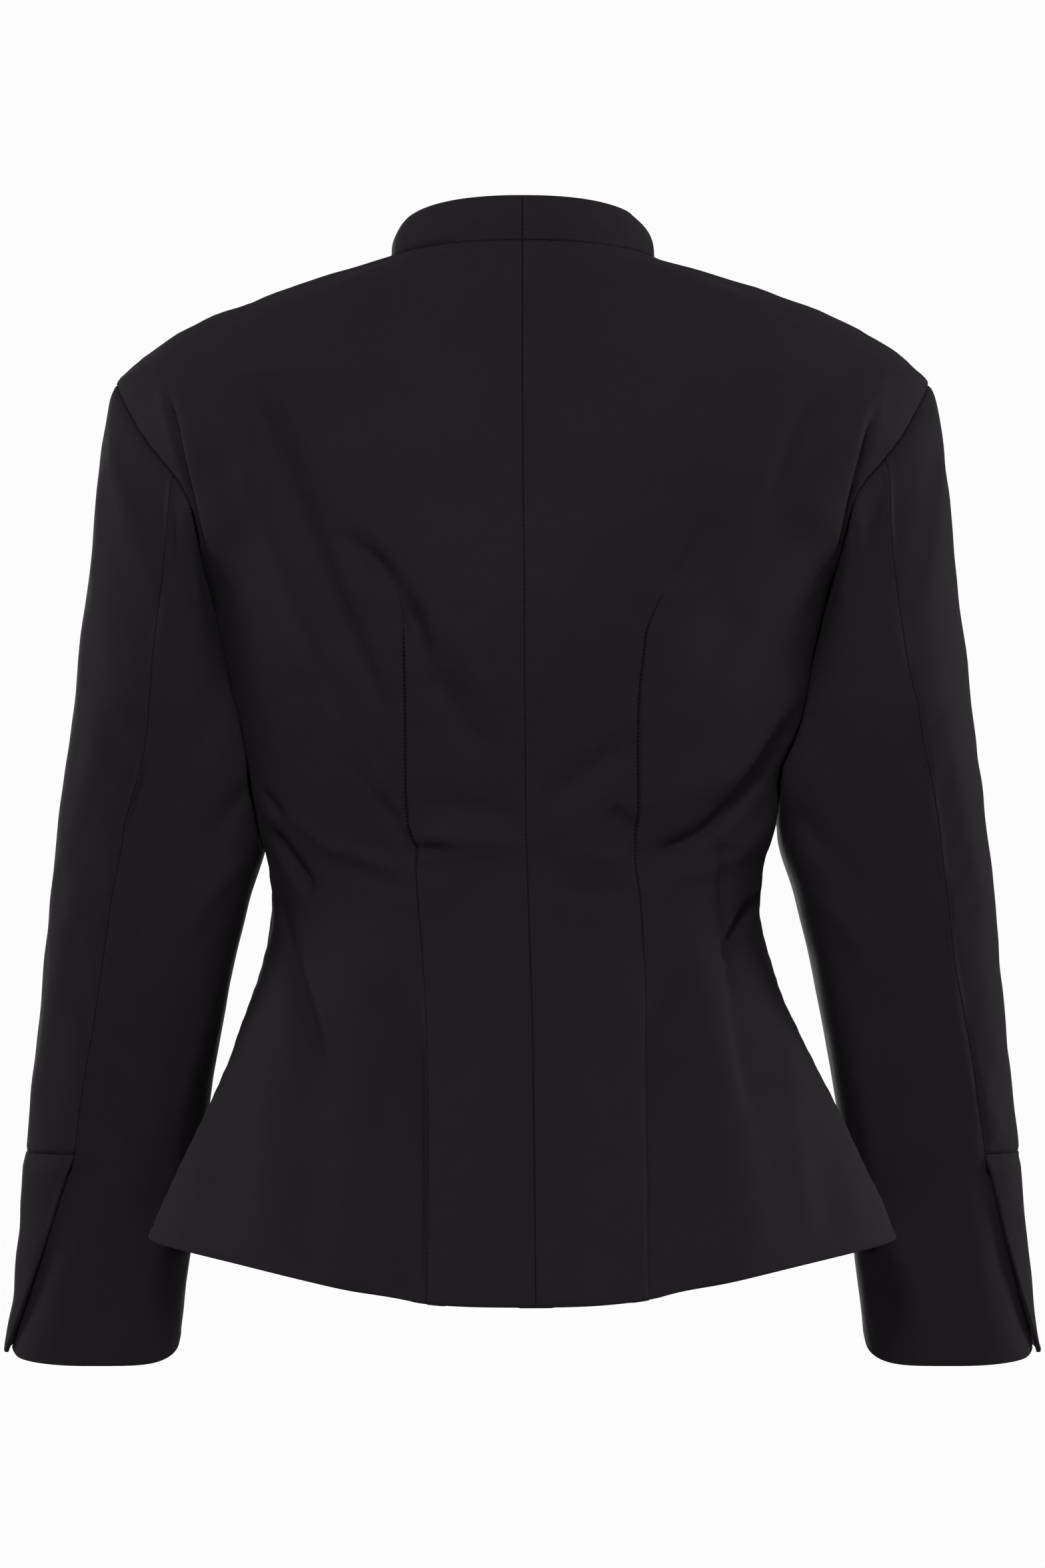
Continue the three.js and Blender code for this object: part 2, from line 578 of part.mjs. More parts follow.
// Half of the stand collar, from the seam at the nape round to the middle of the front.
function collar(hand) {
  const word = hand > 0 ? "left" : "right";
  const back = neckTurns(0, hand * look(backSeams, `${word}Dart`, 0), BACK_COLUMNS);
  const reach = hand > 0 ? LAP.under : LAP.over;
  const front = neckTurns(-reach, look(frontSeams, "dart", 0), FRONT_COLUMNS);
  const ends = Math.acos(COLLAR.endGap / NECK.halfWidth);
  const forward = [...front.filter((psi) => psi > 0 && psi < ends).reverse(), ends];
  const line = [
    ...back.map((psi) => neckPlace(psi, 1)),
    ...forward.map((psi) => neckPlace(psi, -1)),
  ];
  line[0].x = SEAM_GAP / 2;
  const rows = COLLAR_ROWS.map((up) =>
    line.map(({ x, y, z }, i) => {
      const out = new THREE.Vector3(x / NECK.halfWidth ** 2, (y - NECK.y) / NECK.back ** 2, 0).normalize();
      if (i === 0) out.set(0, 1, 0);
      const bow = COLLAR.bow * Math.sin(Math.PI * up);
      const at = new THREE.Vector3(
        mix(x, Math.max(x * COLLAR.leanX, SEAM_GAP / 2), up ** LEAN_LATE) + bow * out.x,
        y * mix(1, COLLAR.leanY, up) - COLLAR.forward * up + bow * out.y,
        z + COLLAR.seat + COLLAR.height * up,
      );
      at.x *= hand;
      out.x *= hand;
      return { at, inward: out.multiplyScalar(-COLLAR_CLOTH) };
    }),
  );
  return panelWall(rows);
}

function paint(color, roughness) {
  return new THREE.MeshStandardMaterial({ color, roughness, metalness: 0 });
}

// A dished sew-through button, flat on the cloth of the right front.
function button(index) {
  const { radius, thick, rim, bevel } = BUTTON;
  const outline = [
    [0, 0],
    [radius - bevel, 0],
    [radius, bevel],
    [radius, thick - rim],
    [radius - bevel, thick],
    [radius - 2 * bevel, thick - rim],
    [0, thick - rim],
  ].map(([r, h]) => new THREE.Vector2(r, h));
  const mesh = new THREE.Mesh(new THREE.LatheGeometry(outline, BUTTON.sides), paint("#161416", 0.4));
  const z = BUTTON.topZ - BUTTON.pitch * index;
  const out = bodyNormal(Math.PI / 2, z, -1, 1);
  const middle = bodyPoint(Math.PI / 2, z, -1, 1);
  // The button's flat back clears the highest place of the cloth under its rim.
  const rise = steps(0, 2 * Math.PI, BUTTON.sides).map((turn) => {
    const [x, dz] = [radius * Math.cos(turn), radius * Math.sin(turn)];
    return bodyPoint(angleAt(x, z + dz, -1, 1), z + dz, -1, 1).sub(middle).dot(out);
  });
  const seat = middle.addScaledVector(out, Math.max(0, ...rise) + SEAM_GAP);
  mesh.quaternion.setFromUnitVectors(new THREE.Vector3(0, 1, 0), out);
  mesh.position.copy(seat);
  mesh.name = `button_${index + 1}`;
  return mesh;
}

const jacket = new THREE.Group();

function add(name, geometry) {
  const mesh = new THREE.Mesh(geometry, paint("#201d20", 0.85));
  mesh.name = name;
  jacket.add(mesh);
}

for (const [word, hand] of [["left", 1], ["right", -1]]) {
  add(`back_${word}`, bodyPanel({
    face: 1,
    hand,
    centreX: (z) => hand * look(backSeams, "centre", z),
    dartX: (z) => hand * look(backSeams, `${word}Dart`, z),
    dartTip: BACK_DART_TIP,
    columns: BACK_COLUMNS,
    sinkAt: () => 0,
  }));
  // The left front runs under the right one, so it is sunk where they lap.
  const reach = hand > 0 ? LAP.under : LAP.over;
  const sinkAt = (angle, z) => {
    if (hand < 0) return 0;
    const x = section(z, -1).reach / Math.tan(Math.max(angle, 0.01));
    return -LAP.sink * (1 - smooth(LAP.blendFrom, LAP.blendTo, x));
  };
  add(`front_${word}`, bodyPanel({
    face: -1,
    hand,
    centreX: () => -reach,
    dartX: (z) => look(frontSeams, "dart", z),
    dartTip: FRONT_DART_TIP,
    columns: FRONT_COLUMNS,
    sinkAt,
  }));
  add(`sleeve_upper_${word}`, upperSleeve(hand));
  add(`sleeve_under_${word}`, underSleeve(hand));
  add(`cuff_${word}`, cuff(hand));
  add(`collar_${word}`, collar(hand));
}
for (let i = 0; i < BUTTON.count; i++) jacket.add(button(i));

export default jacket;
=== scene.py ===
import math

import bpy
import numpy as np
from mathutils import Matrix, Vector


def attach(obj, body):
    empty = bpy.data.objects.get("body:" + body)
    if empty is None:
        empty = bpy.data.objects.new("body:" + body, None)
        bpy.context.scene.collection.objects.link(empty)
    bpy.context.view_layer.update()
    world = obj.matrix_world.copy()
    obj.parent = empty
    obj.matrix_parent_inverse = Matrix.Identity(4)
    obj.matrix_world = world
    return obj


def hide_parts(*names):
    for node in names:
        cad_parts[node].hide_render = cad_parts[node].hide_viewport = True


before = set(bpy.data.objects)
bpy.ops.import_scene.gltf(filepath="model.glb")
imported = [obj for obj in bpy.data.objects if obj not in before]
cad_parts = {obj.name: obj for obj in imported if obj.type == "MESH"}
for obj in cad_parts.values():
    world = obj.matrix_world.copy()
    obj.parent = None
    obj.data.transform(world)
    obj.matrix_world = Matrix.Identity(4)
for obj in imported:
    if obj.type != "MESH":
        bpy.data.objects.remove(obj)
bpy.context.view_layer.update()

# All lengths are in millimetres until a mesh is made, and all turns are in degrees unless a note
# says otherwise. +Z is up, the front faces -Y and the wearer's left is +X (hand 1).
metresPerMm = 0.001

seam = dict(
    gap=-0.03, edgeWide=1.2, edgeDeep=0.9, rollWide=1.0, rollDeep=0.62, stitch=2.4,
    pucker=0.16, puckerLong=11, puckerWide=7, calm=4,
)
# Cloth turned in along a seam and pressed flat inside; inside is how much of an edge's rounding
# the inner side has
allowance = dict(wide=9, fade=1.5, thick=1.7, cloth=2.0, inside=0.44)
hemTurn = dict(tall=38, extra=0.9, fade=1.5)  # the hem is turned up inside, so it is thicker there
shape = dict(
    nape=5, shoulderTip=-74, underarm=-215, waist=-345,
    hemSide=-570, hemBack=-598, hemFront=-590, hemCurve=3.6,
)
neck = dict(halfWidth=77, y=2, deep=60, search=14, halvings=40)
armhole = dict(y=2, deep=52, egg=0.35, foldPower=2.8)
backDartTip = -200
frontDartTip = -262
foldFade = 22


# Reading tables
def table(names, rows):  # columns by name, in the order of the first one
    columns = np.array(sorted(rows), dtype=float).T
    return dict(zip(names.split(), columns))


def slopes(x, y):  # harmonic mean of the two neighbouring slopes, nothing at a turning point
    secant = np.diff(y) / np.diff(x)
    a, b = secant[:-1], secant[1:]
    same = a * b > 0
    middle = np.where(same, 2 * a * b / np.where(same, a + b, 1), 0)
    return np.concatenate([secant[:1], middle, secant[-1:]])


def look(rows, column, key):  # smooth reading between rows: cubic that never overshoots
    x, y = next(iter(rows.values())), rows[column]
    m = slopes(x, y)
    key = np.asarray(key, dtype=float)
    i = np.clip(np.searchsorted(x, key, side="right") - 1, 0, len(x) - 2)
    h = x[i + 1] - x[i]
    s = np.clip((key - x[i]) / h, 0, 1)
    r = 1 - s
    inside = y[i] * (1 + 2 * s) * r * r + h * m[i] * s * r * r
    inside += y[i + 1] * s * s * (3 - 2 * s) + h * m[i + 1] * s * s * (s - 1)
    past = key - np.clip(key, x[0], x[-1])
    return inside + past * np.where(past < 0, m[0], m[-1])


def smooth(start, end, v):  # 0 before start, 1 after end, 3s^2 - 2s^3 between
    s = np.clip((np.asarray(v, dtype=float) - start) / (end - start), 0, 1)
    return s * s * (3 - 2 * s)


def mix(a, b, s):
    return a + (b - a) * s


def sideOf(hand):
    return "left" if hand > 0 else "right"


def turnedHem(rise):  # how much thicker the cloth is, a height above its lower edge
    return hemTurn["extra"] * (1 - smooth(hemTurn["tall"], hemTurn["tall"] + hemTurn["fade"], rise))


def crowded(count, k=0.8):  # shares from 0 to 1, closer at both ends: t - k sin(2 pi t) / 2 pi
    t = np.linspace(0, 1, count + 1)
    return t - k * np.sin(2 * np.pi * t) / (2 * np.pi)


def oneSided(count, k=0.9):  # shares from 0 to 1, closer at 1 only
    t = np.linspace(0, 1, count + 1)
    return t + k * np.sin(np.pi * t) / np.pi * t


# The body's sections, seams and folds
body = table("z halfWidth shift widestY backY frontY power", [
    (14, 71, 0, 3, 58, -22, 2),
    (6, 74, 0, 3, 61.5, -27, 2),
    (0, 77, 0, 3, 65, -30, 2),
    (-8.6, 106, 0, 2, 68.5, -34, 2),
    (-16.4, 130.5, 0, 2, 72, -38, 2),
    (-24.2, 154, 0, 1, 75, -42, 2),
    (-32, 175.5, 0, 1, 78, -46, 2),
    (-39.8, 192, 0, 0, 80.5, -50, 2.02),
    (-47.6, 206.5, 0, 0, 83, -54, 2.05),
    (-55.4, 218, 0, 0, 85, -58, 2.08),
    (-63.2, 227.5, 0, 0, 87, -62, 2.1),
    (-74, 237.5, 0, 0, 89.5, -68, 2.15),
    (-100, 234, 0, 0, 94.5, -84, 2.25),
    (-118, 225.5, 0, 1, 98, -95, 2.35),
    (-145, 206, 0, 2, 101.5, -110, 2.4),
    (-170, 188, 0.5, 3, 104, -121, 2.4),
    (-195, 179, 1, 4, 104.5, -130, 2.35),
    (-215, 174, 1.5, 5, 103, -135, 2.3),
    (-240, 168, 2.2, 8, 100, -137, 2.25),
    (-262, 163.5, 2.4, 10, 96.5, -134, 2.2),
    (-282, 159.5, 2.4, 10, 92, -129, 2.2),
    (-300, 156, 2.6, 10, 88, -123, 2.2),
    (-335, 150, 3.2, 6, 81, -113, 2.15),
    (-358, 144, 3.6, 2, 78, -109, 2.1),
    (-380, 142.5, 3.8, 0, 79, -108, 2.1),
    (-396, 144.5, 3.6, 2, 82, -110, 2.1),
    (-414, 149, 3.2, 5, 87, -113, 2.1),
    (-434, 155, 2.6, 8, 93, -117, 2.1),
    (-453, 162.5, 2, 12, 99, -121, 2.08),
    (-473, 172, 1, 15, 105.5, -125, 2.05),
    (-492, 181.5, 0, 18, 112, -129, 2.02),
    (-512, 191, 0, 21, 119, -133, 2),
    (-531, 200, 0, 24, 126, -137, 1.98),
    (-551, 209, 0, 27, 133, -141, 1.95),
    (-570, 217, 0, 29, 140, -144, 1.93),
    (-600, 231, 0, 31, 150, -151, 1.9),
])
backSeams = table("z centre leftDart rightDart", [
    (5, 0, 46, -46),
    (-74, 0, 78, -78),
    (-150, -0.5, 84, -88),
    (-188, -1, 76, -86),
    (-205, -1, 70, -77),
    (-223, -1, 68, -70),
    (-280, -1.5, 67, -66),
    (-332, -2, 67, -66),
    (-348, -2.5, 63, -67),
    (-395, -4, 58, -69),
    (-440, -5.5, 55, -71),
    (-510, -6.5, 53.5, -71.5),
    (-600, -7.5, 53.5, -71),
])
# How deep the ditch of each back dart is, as a multiple of a plain seam's
dartDepth = table("z left right front", [
    (-200, 0.1, 0.6, 0.8),
    (-216, 0.2, 1.5, 0.8),
    (-226, 1.6, 2.0, 0.8),
    (-238, 2.3, 2.3, 0.8),
    (-300, 2.4, 2.5, 1.3),
    (-338, 3.0, 2.2, 1.5),
    (-352, 1.3, 1.5, 1.2),
    (-400, 1.1, 1.5, 1.0),
    (-450, 1.5, 1.8, 1.0),
    (-520, 2.3, 2.0, 1.1),
    (-600, 2.5, 2.1, 1.2),
])
frontSeams = table("z dart", [
    (0, 52),
    (-62, 66),
    (-150, 80),
    (-240, 82),
    (-300, 74),
    (-345, 66),
    (-420, 70),
    (-500, 78),
    (-600, 88),
])
# The largest folds: face, start x z, end x z, height, width to the left and right of the line
largeFolds = [
    (1, 200, -92, 180, -165, 4, 7, 26),
    (1, 180, -165, 149, -310, 4, 8, 28),
    (1, -199, -92, -177, -165, 4, 26, 7),
    (1, -177, -165, -144, -310, 4, 28, 8),
    (1, 152, -90, 97, -217, -3.5, 17, 17),
    (1, 120, -262, 80, -336, -4, 15, 15),
    (1, -78, -347, -143, -305, -5, 15, 17),
    (1, -90, -322, -148, -262, 3.5, 18, 18),
    (1, 138, -445, 142, -556, 5, 17, 17),
    (1, -100, -405, -127, -556, 5, 15, 17),
    (1, 76, -440, 80, -600, -5, 15, 15),
    (1, -92, -440, -97, -600, -5, 15, 15),
    (-1, 120, -420, 138, -590, 5, 18, 18),
    (-1, -118, -420, -134, -590, 5, 18, 18),
    (-1, 102, -420, 106, -590, -3, 16, 16),
    (-1, -99, -420, -102, -590, -3, 16, 16),
]
# Creases on the back and the front: start x z, end x z, bow of the line to one side, height
# (minus is a trough), and width to the left and right of it
backCreases = [
    (204, -82, 183, -174, 0, -6.5, 2.8, 2.2),  # the drape beside the left armhole
    (197, -86, 179, -176, 0, 3.0, 4, 18),
    (-204, -90, -182, -170, 0, -6.5, 2.2, 2.8),  # and beside the right one
    (-196, -92, -177, -176, 0, 3.0, 18, 4),
    (-171, -190, -146, -300, 0, 0.8, 5, 8),  # the flat edge of the back beside each sleeve
    (174, -190, 150, -300, 0, 0.6, 8, 5),
    (158, -84, 121, -172, 0, -3.4, 9, 13),  # drags from the left shoulder to the dart
    (126, -152, 73, -276, -2, -4.4, 7, 8),
    (108, -164, 76, -190, 2, -3.4, 6, 7),
    (94, -170, 57, -230, 4, -5.8, 8, 9),
    (66, -206, 52, -240, 0, -2.6, 6, 7),
    (60, -232, 18, -294, 0, -3.2, 9, 9),
    (54, -204, 16, -264, 0, 2.4, 8, 8),
    (165, -85, 152, -152, 0, 2.2, 8, 8),
    (150, -148, 106, -264, 0, 3.2, 9, 8),
    (110, -254, 78, -320, 0, 3.4, 7, 6),
    (134, -250, 88, -322, 0, 1.8, 8, 7),
    (98, -290, 66, -340, 0, -3.0, 5, 5),
    (62, -317, 4, -326, 0, -2.4, 7, 8),
    (60, -338, 2, -343, 0, 1.6, 5, 7),
    (66, -344, 42, -345, 0, -3.6, 1.6, 2.6),  # the pinch at the foot of the left dart
    (58, -338, 40, -337, 0, 1.6, 4, 4),
    (67, -334, 61, -354, 0, -3.8, 3.5, 2.5),
    (152, -311, 138, -329, 0, -3.6, 2.4, 3.4),  # creases at the left waist
    (147, -333, 120, -372, 0, -7.4, 3, 4.4),
    (134, -324, 104, -350, 0, 2.2, 4, 4),
    (108, -355, 64, -368, 0, -2.0, 4, 5),
    (114, -341, 70, -358, 0, 2.4, 4, 5),
    (143, -373, 112, -470, 0, -4.4, 2.4, 4),
    (150, -398, 128, -480, 4, 2.4, 8, 8),
    (59, -430, 57, -602, 0, -4.6, 13, 3),
    (-62, -284, -14, -316, 0, -3.2, 8, 11),  # hollow beside the foot of the right dart
    (-50, -322, -66, -336, 0, -3.4, 6, 5),
    (-20, -347, -60, -350, 0, 1.6, 6, 6),
    (-22, -369, -66, -369, 0, -2.4, 5, 7),
    (-76, -348, -124, -321, -3, -7.6, 3, 5),  # drag from the right dart up to the side
    (-108, -331, -157, -264, -7, -8.0, 4, 8),
    (-84, -362, -150, -318, -10, 3.0, 6, 5),
    (-92, -316, -160, -236, -14, 3.4, 9, 9),
    (-112, -345, -126, -346, 0, -2.2, 1.8, 2.2),  # the tuck at the right waist
    (-114.5, -342, -118, -404, 0, -4.4, 5, 1.8),
    (-140, -371, -118, -406, -2, -7.0, 4.2, 2.6),
    (-118, -400, -120, -428, 0, -3.0, 2.6, 2.8),
    (-119, -416, -132, -496, -2, -2.2, 4, 7),
    (-97, -372, -113, -488, -3, 2.0, 12, 11),
    (-73, -424, -73, -602, 0, -4.4, 3, 13),
    (-122, -196, -94, -262, 4, -1.4, 11, 11),
    (-171, -80, -142, -152, 0, -3.2, 7, 8),
    (-108, -156, -80, -198, 0, -2.0, 6, 7),
    (-136, -150, -112, -206, 0, 1.2, 10, 10),
    (60, -60, 84, -130, 0, 1.2, 16, 16),
    (20, -120, 40, -210, 0, -1.2, 16, 14),
    (-20, -80, -34, -190, 0, 1.0, 16, 16),
    (92, -440, 104, -590, 2, 2.2, 12, 12),
    (20, -440, 26, -590, 3, 1.8, 13, 14),
    (-30, -450, -34, -590, -3, 1.8, 13, 13),
    (-150, -420, -164, -560, 0, 2.4, 12, 12),
    (168, -500, 186, -572, 3, -3.0, 12, 13),
    (-165, -490, -184, -572, -3, -3.0, 12, 11),
]
frontCreases = [
    (160, -96, 92, -226, 8, -5.1, 11, 10.2),
    (-158, -98, -90, -230, -9, -4.6, 10.2, 11),
    (172, -170, 84, -300, 10, 4.2, 11, 11.9),
    (-170, -166, -82, -306, -9, 4.3, 11.9, 10.2),
    (150, -285, 70, -338, -8, -6.1, 6.8, 6.8),
    (-152, -292, -70, -342, 9, -5.5, 6.8, 6.8),
    (78, -268, 60, -318, 0, 3.2, 7.6, 7.6),
    (-80, -270, -60, -322, 0, 3.5, 7.6, 7.6),
    (58, -348, 20, -352, 2, -3.8, 5.1, 5.1),
    (-60, -346, -26, -351, -2, -3.5, 5.1, 5.1),
    (140, -352, 112, -376, 3, -5.1, 3.4, 5.1),
    (-138, -350, -110, -380, -3, -5.5, 5.1, 3.4),
    (134, -380, 110, -462, 5, -5.5, 6, 7.6),
    (-132, -384, -112, -456, -5, -5.1, 7.6, 6),
    (40, -420, 48, -586, 3, 2.3, 12.8, 12.8),
    (-38, -430, -50, -586, -3, 2.6, 12.8, 12.8),
    (60, -120, 30, -170, 3, -2, 10.2, 10.2),
    (-62, -124, -30, -176, -3, -2.3, 10.2, 10.2),
]


def foldHeight(x, z, face):  # gaussian across a straight line, fading past its ends
    total = np.zeros(np.broadcast(x, z, face).shape)
    for foldFace, x0, z0, x1, z1, height, left, right in largeFolds:
        dx, dz = x1 - x0, z1 - z0
        length = math.hypot(dx, dz)
        along = ((x - x0) * dx + (z - z0) * dz) / length
        across = ((x - x0) * dz - (z - z0) * dx) / length
        past = np.maximum(np.maximum(-along, along - length), 0)
        wide = np.where(across < 0, left, right)
        bump = height * np.exp(-((past / foldFade) ** 2) - (across / wide) ** 2)
        total = total + bump * (face == foldFace)
    return total


def creaseHeight(rows, u, v):  # gaussian across a bowed line, rising and dying away along it
    total = np.zeros(np.broadcast(u, v).shape)
    for u0, v0, u1, v1, bow, height, left, right in rows:
        length = math.hypot(u1 - u0, v1 - v0)
        du, dv = (u1 - u0) / length, (v1 - v0) / length
        share = ((u - u0) * du + (v - v0) * dv) / length
        t = np.clip(share, 0, 1)
        across = (u - u0) * dv - (v - v0) * du - bow * 4 * t * (1 - t)
        wide = np.where(across < 0, left, right)
        taper = smooth(-0.12, 0.3, share) * smooth(1.12, 0.7, share)
        total = total + height * taper * np.exp(-((across / wide) ** 2))
    return total


def unevenness(u, v, seed):  # a few slow waves at odd angles, as pressed cloth has
    chance = np.random.default_rng(seed)
    total = np.zeros(np.broadcast(u, v).shape)
    for size, high in ((95, 0.45), (60, 0.3), (38, 0.18), (24, 0.1)):
        for _ in range(3):
            turn, start = chance.uniform(0, 2 * np.pi, 2)
            wave = (u * math.cos(turn) + v * math.sin(turn)) * 2 * np.pi / size
            total = total + high * np.sin(wave + start) / 1.7
    return total


def section(z, face):  # half width, middle y, reach, squareness and shift at a height
    widest = look(body, "widestY", z)
    reach = np.where(face > 0, look(body, "backY", z) - widest, widest - look(body, "frontY", z))
    return look(body, "halfWidth", z), widest, reach, look(body, "power", z), look(body, "shift", z)


def bodyPoint(angle, z, face, hand, step=0.0):  # superellipse radius + step + fold, in radians
    half, widest, reach, power, shift = section(z, face)
    c, s = np.cos(angle), np.sin(angle)
    radius = ((np.abs(c) / half) ** power + (np.abs(s) / reach) ** power) ** (-1 / power)
    grown = radius + step + foldHeight(hand * radius * c + shift, z, face)
    x, y = hand * grown * c + shift, widest + face * grown * s
    return np.stack([x, y, np.broadcast_to(z, x.shape)], -1)


def angleAt(distance, z, face, hand):  # where the section passes a distance from the middle
    half, _, reach, power, shift = section(z, face)
    x = distance - hand * shift
    share = np.minimum(np.abs(x) / half, 1)
    return np.arctan2(reach * (1 - share**power) ** (1 / power), x)


def unit(v):
    return v / np.maximum(np.linalg.norm(v, axis=-1, keepdims=True), 1e-9)


def normalOf(place, a, b, da, db, out):  # cross product of two small steps, turned outwards
    n = unit(np.cross(place(a + da, b) - place(a - da, b), place(a, b + db) - place(a, b - db)))
    return n * np.where((n * out).sum(-1, keepdims=True) < 0, -1, 1)


def bodyNormal(angle, z, face, hand, step=0.0):
    c, s = np.cos(angle), np.sin(angle)
    out = np.stack(np.broadcast_arrays(hand * c, face * s, 0 * c), -1)
    return normalOf(lambda a, b: bodyPoint(a, b, face, hand, step), angle, z, 0.02, 0.8, out)


def neckPlace(psi, face):  # height where the shoulders pass through the neck's outline
    x = neck["halfWidth"] * np.cos(psi)
    y = neck["y"] + face * neck["deep"] * np.sin(psi)
    low = np.full(x.shape, float(shape["shoulderTip"]))
    high = np.full(x.shape, float(neck["search"]))
    for _ in range(neck["halvings"]):
        z = (low + high) / 2
        half, widest, reach, power, _ = section(z, face)
        inside = (np.abs(x) / half) ** power + (np.abs(y - widest) / reach) ** power < 1
        low, high = np.where(inside, z, low), np.where(inside, high, z)
    z = np.minimum(low, shape["nape"] if face > 0 else 0)
    return x, y, z, np.arctan2(face * (y - look(body, "widestY", z)), x)


def armholePlace(phi, face):  # an egg seen from the side, on the body's section
    middle = (shape["shoulderTip"] + shape["underarm"]) / 2
    z = middle + (shape["shoulderTip"] - middle) * np.cos(phi)
    c, s = np.cos(phi), np.abs(np.sin(phi))
    folded = (face > 0) & (c < 0)
    spread = np.where(folded, s ** armhole["foldPower"], s * (1 - armhole["egg"] * c))
    y = armhole["y"] + face * armhole["deep"] * spread
    half, widest, reach, power, _ = section(z, face)
    away = np.maximum(face * (y - widest), 0)
    x = half * (1 - np.minimum(away / reach, 1) ** power) ** (1 / power)
    return z, np.arctan2(away, x)


# Cloth meshes
def nearest(points, line, within=14):  # distance to a line of points, and the length along it
    start, way = line[:-1], np.diff(line, axis=0)
    size = np.maximum((way**2).sum(-1), 1e-12)
    run = np.concatenate([[0], np.cumsum(np.sqrt(size))])
    few = line[::6]
    rough = np.sqrt(((points[:, None] - few) ** 2).sum(-1).min(1))
    reach = within + np.linalg.norm(np.diff(few, axis=0), axis=-1).max()
    near = np.nonzero(rough < reach)[0]
    t = ((points[near, None] - start) * way).sum(-1) / size
    t = np.clip(t, 0, 1)
    away = np.linalg.norm(points[near, None] - start - t[..., None] * way, axis=-1)
    best = away.argmin(1)
    pick = np.arange(len(near))
    gap, along = np.full(len(points), 1e3), np.zeros(len(points))
    gap[near] = away[pick, best]
    along[near] = run[best] + t[pick, best] * np.sqrt(size[best])
    return gap, along


def roll(distance, wide, deep):  # quarter circle: deep at the edge, nothing past wide
    inner = np.clip(1 - distance / wide, 0, 1)
    return deep * (1 - np.sqrt(1 - inner**2))


def addMesh(name, points, faces, material, uv=None, marks=None):
    mesh = bpy.data.meshes.new(name)
    points = np.asarray(points, dtype=np.float32) * metresPerMm
    faces = np.asarray(faces, dtype=np.int32)
    mesh.vertices.add(len(points))
    mesh.vertices.foreach_set("co", points.ravel())
    mesh.loops.add(faces.size)
    mesh.loops.foreach_set("vertex_index", faces.ravel())
    mesh.polygons.add(len(faces))
    mesh.polygons.foreach_set("loop_start", np.arange(0, faces.size, 4, dtype=np.int32))
    mesh.polygons.foreach_set("use_smooth", np.ones(len(faces), dtype=bool))
    mesh.update(calc_edges=True)
    if uv is not None:
        layer = mesh.uv_layers.new(name="cloth")
        layer.data.foreach_set("uv", uv[faces.ravel()].astype(np.float32).ravel())
    for key, values in (marks or {}).items():
        attribute = mesh.attributes.new(key, "FLOAT", "POINT")
        attribute.data.foreach_set("value", values.astype(np.float32))
    mesh.validate()
    mesh.materials.append(material)
    thing = bpy.data.objects.new(name, mesh)
    bpy.context.scene.collection.objects.link(thing)
    return thing


def ringFaces(rows, sides):  # quads between closed rings, one ring after the other
    number = np.arange(rows * sides).reshape(rows, sides)
    following = np.roll(number, -1, axis=1)
    return np.stack([number[:-1], number[1:], following[1:], following[:-1]], -1).reshape(-1, 4)


def borderLines(number, slit, joined):  # left, right, bottom, top, and the slit
    lines = [number[:, 0], number[:, -1], number[0], number[-1]]
    if slit is not None:
        lines += [number[: joined + 1, slit], number[: joined + 1, slit + 1]]
    return lines


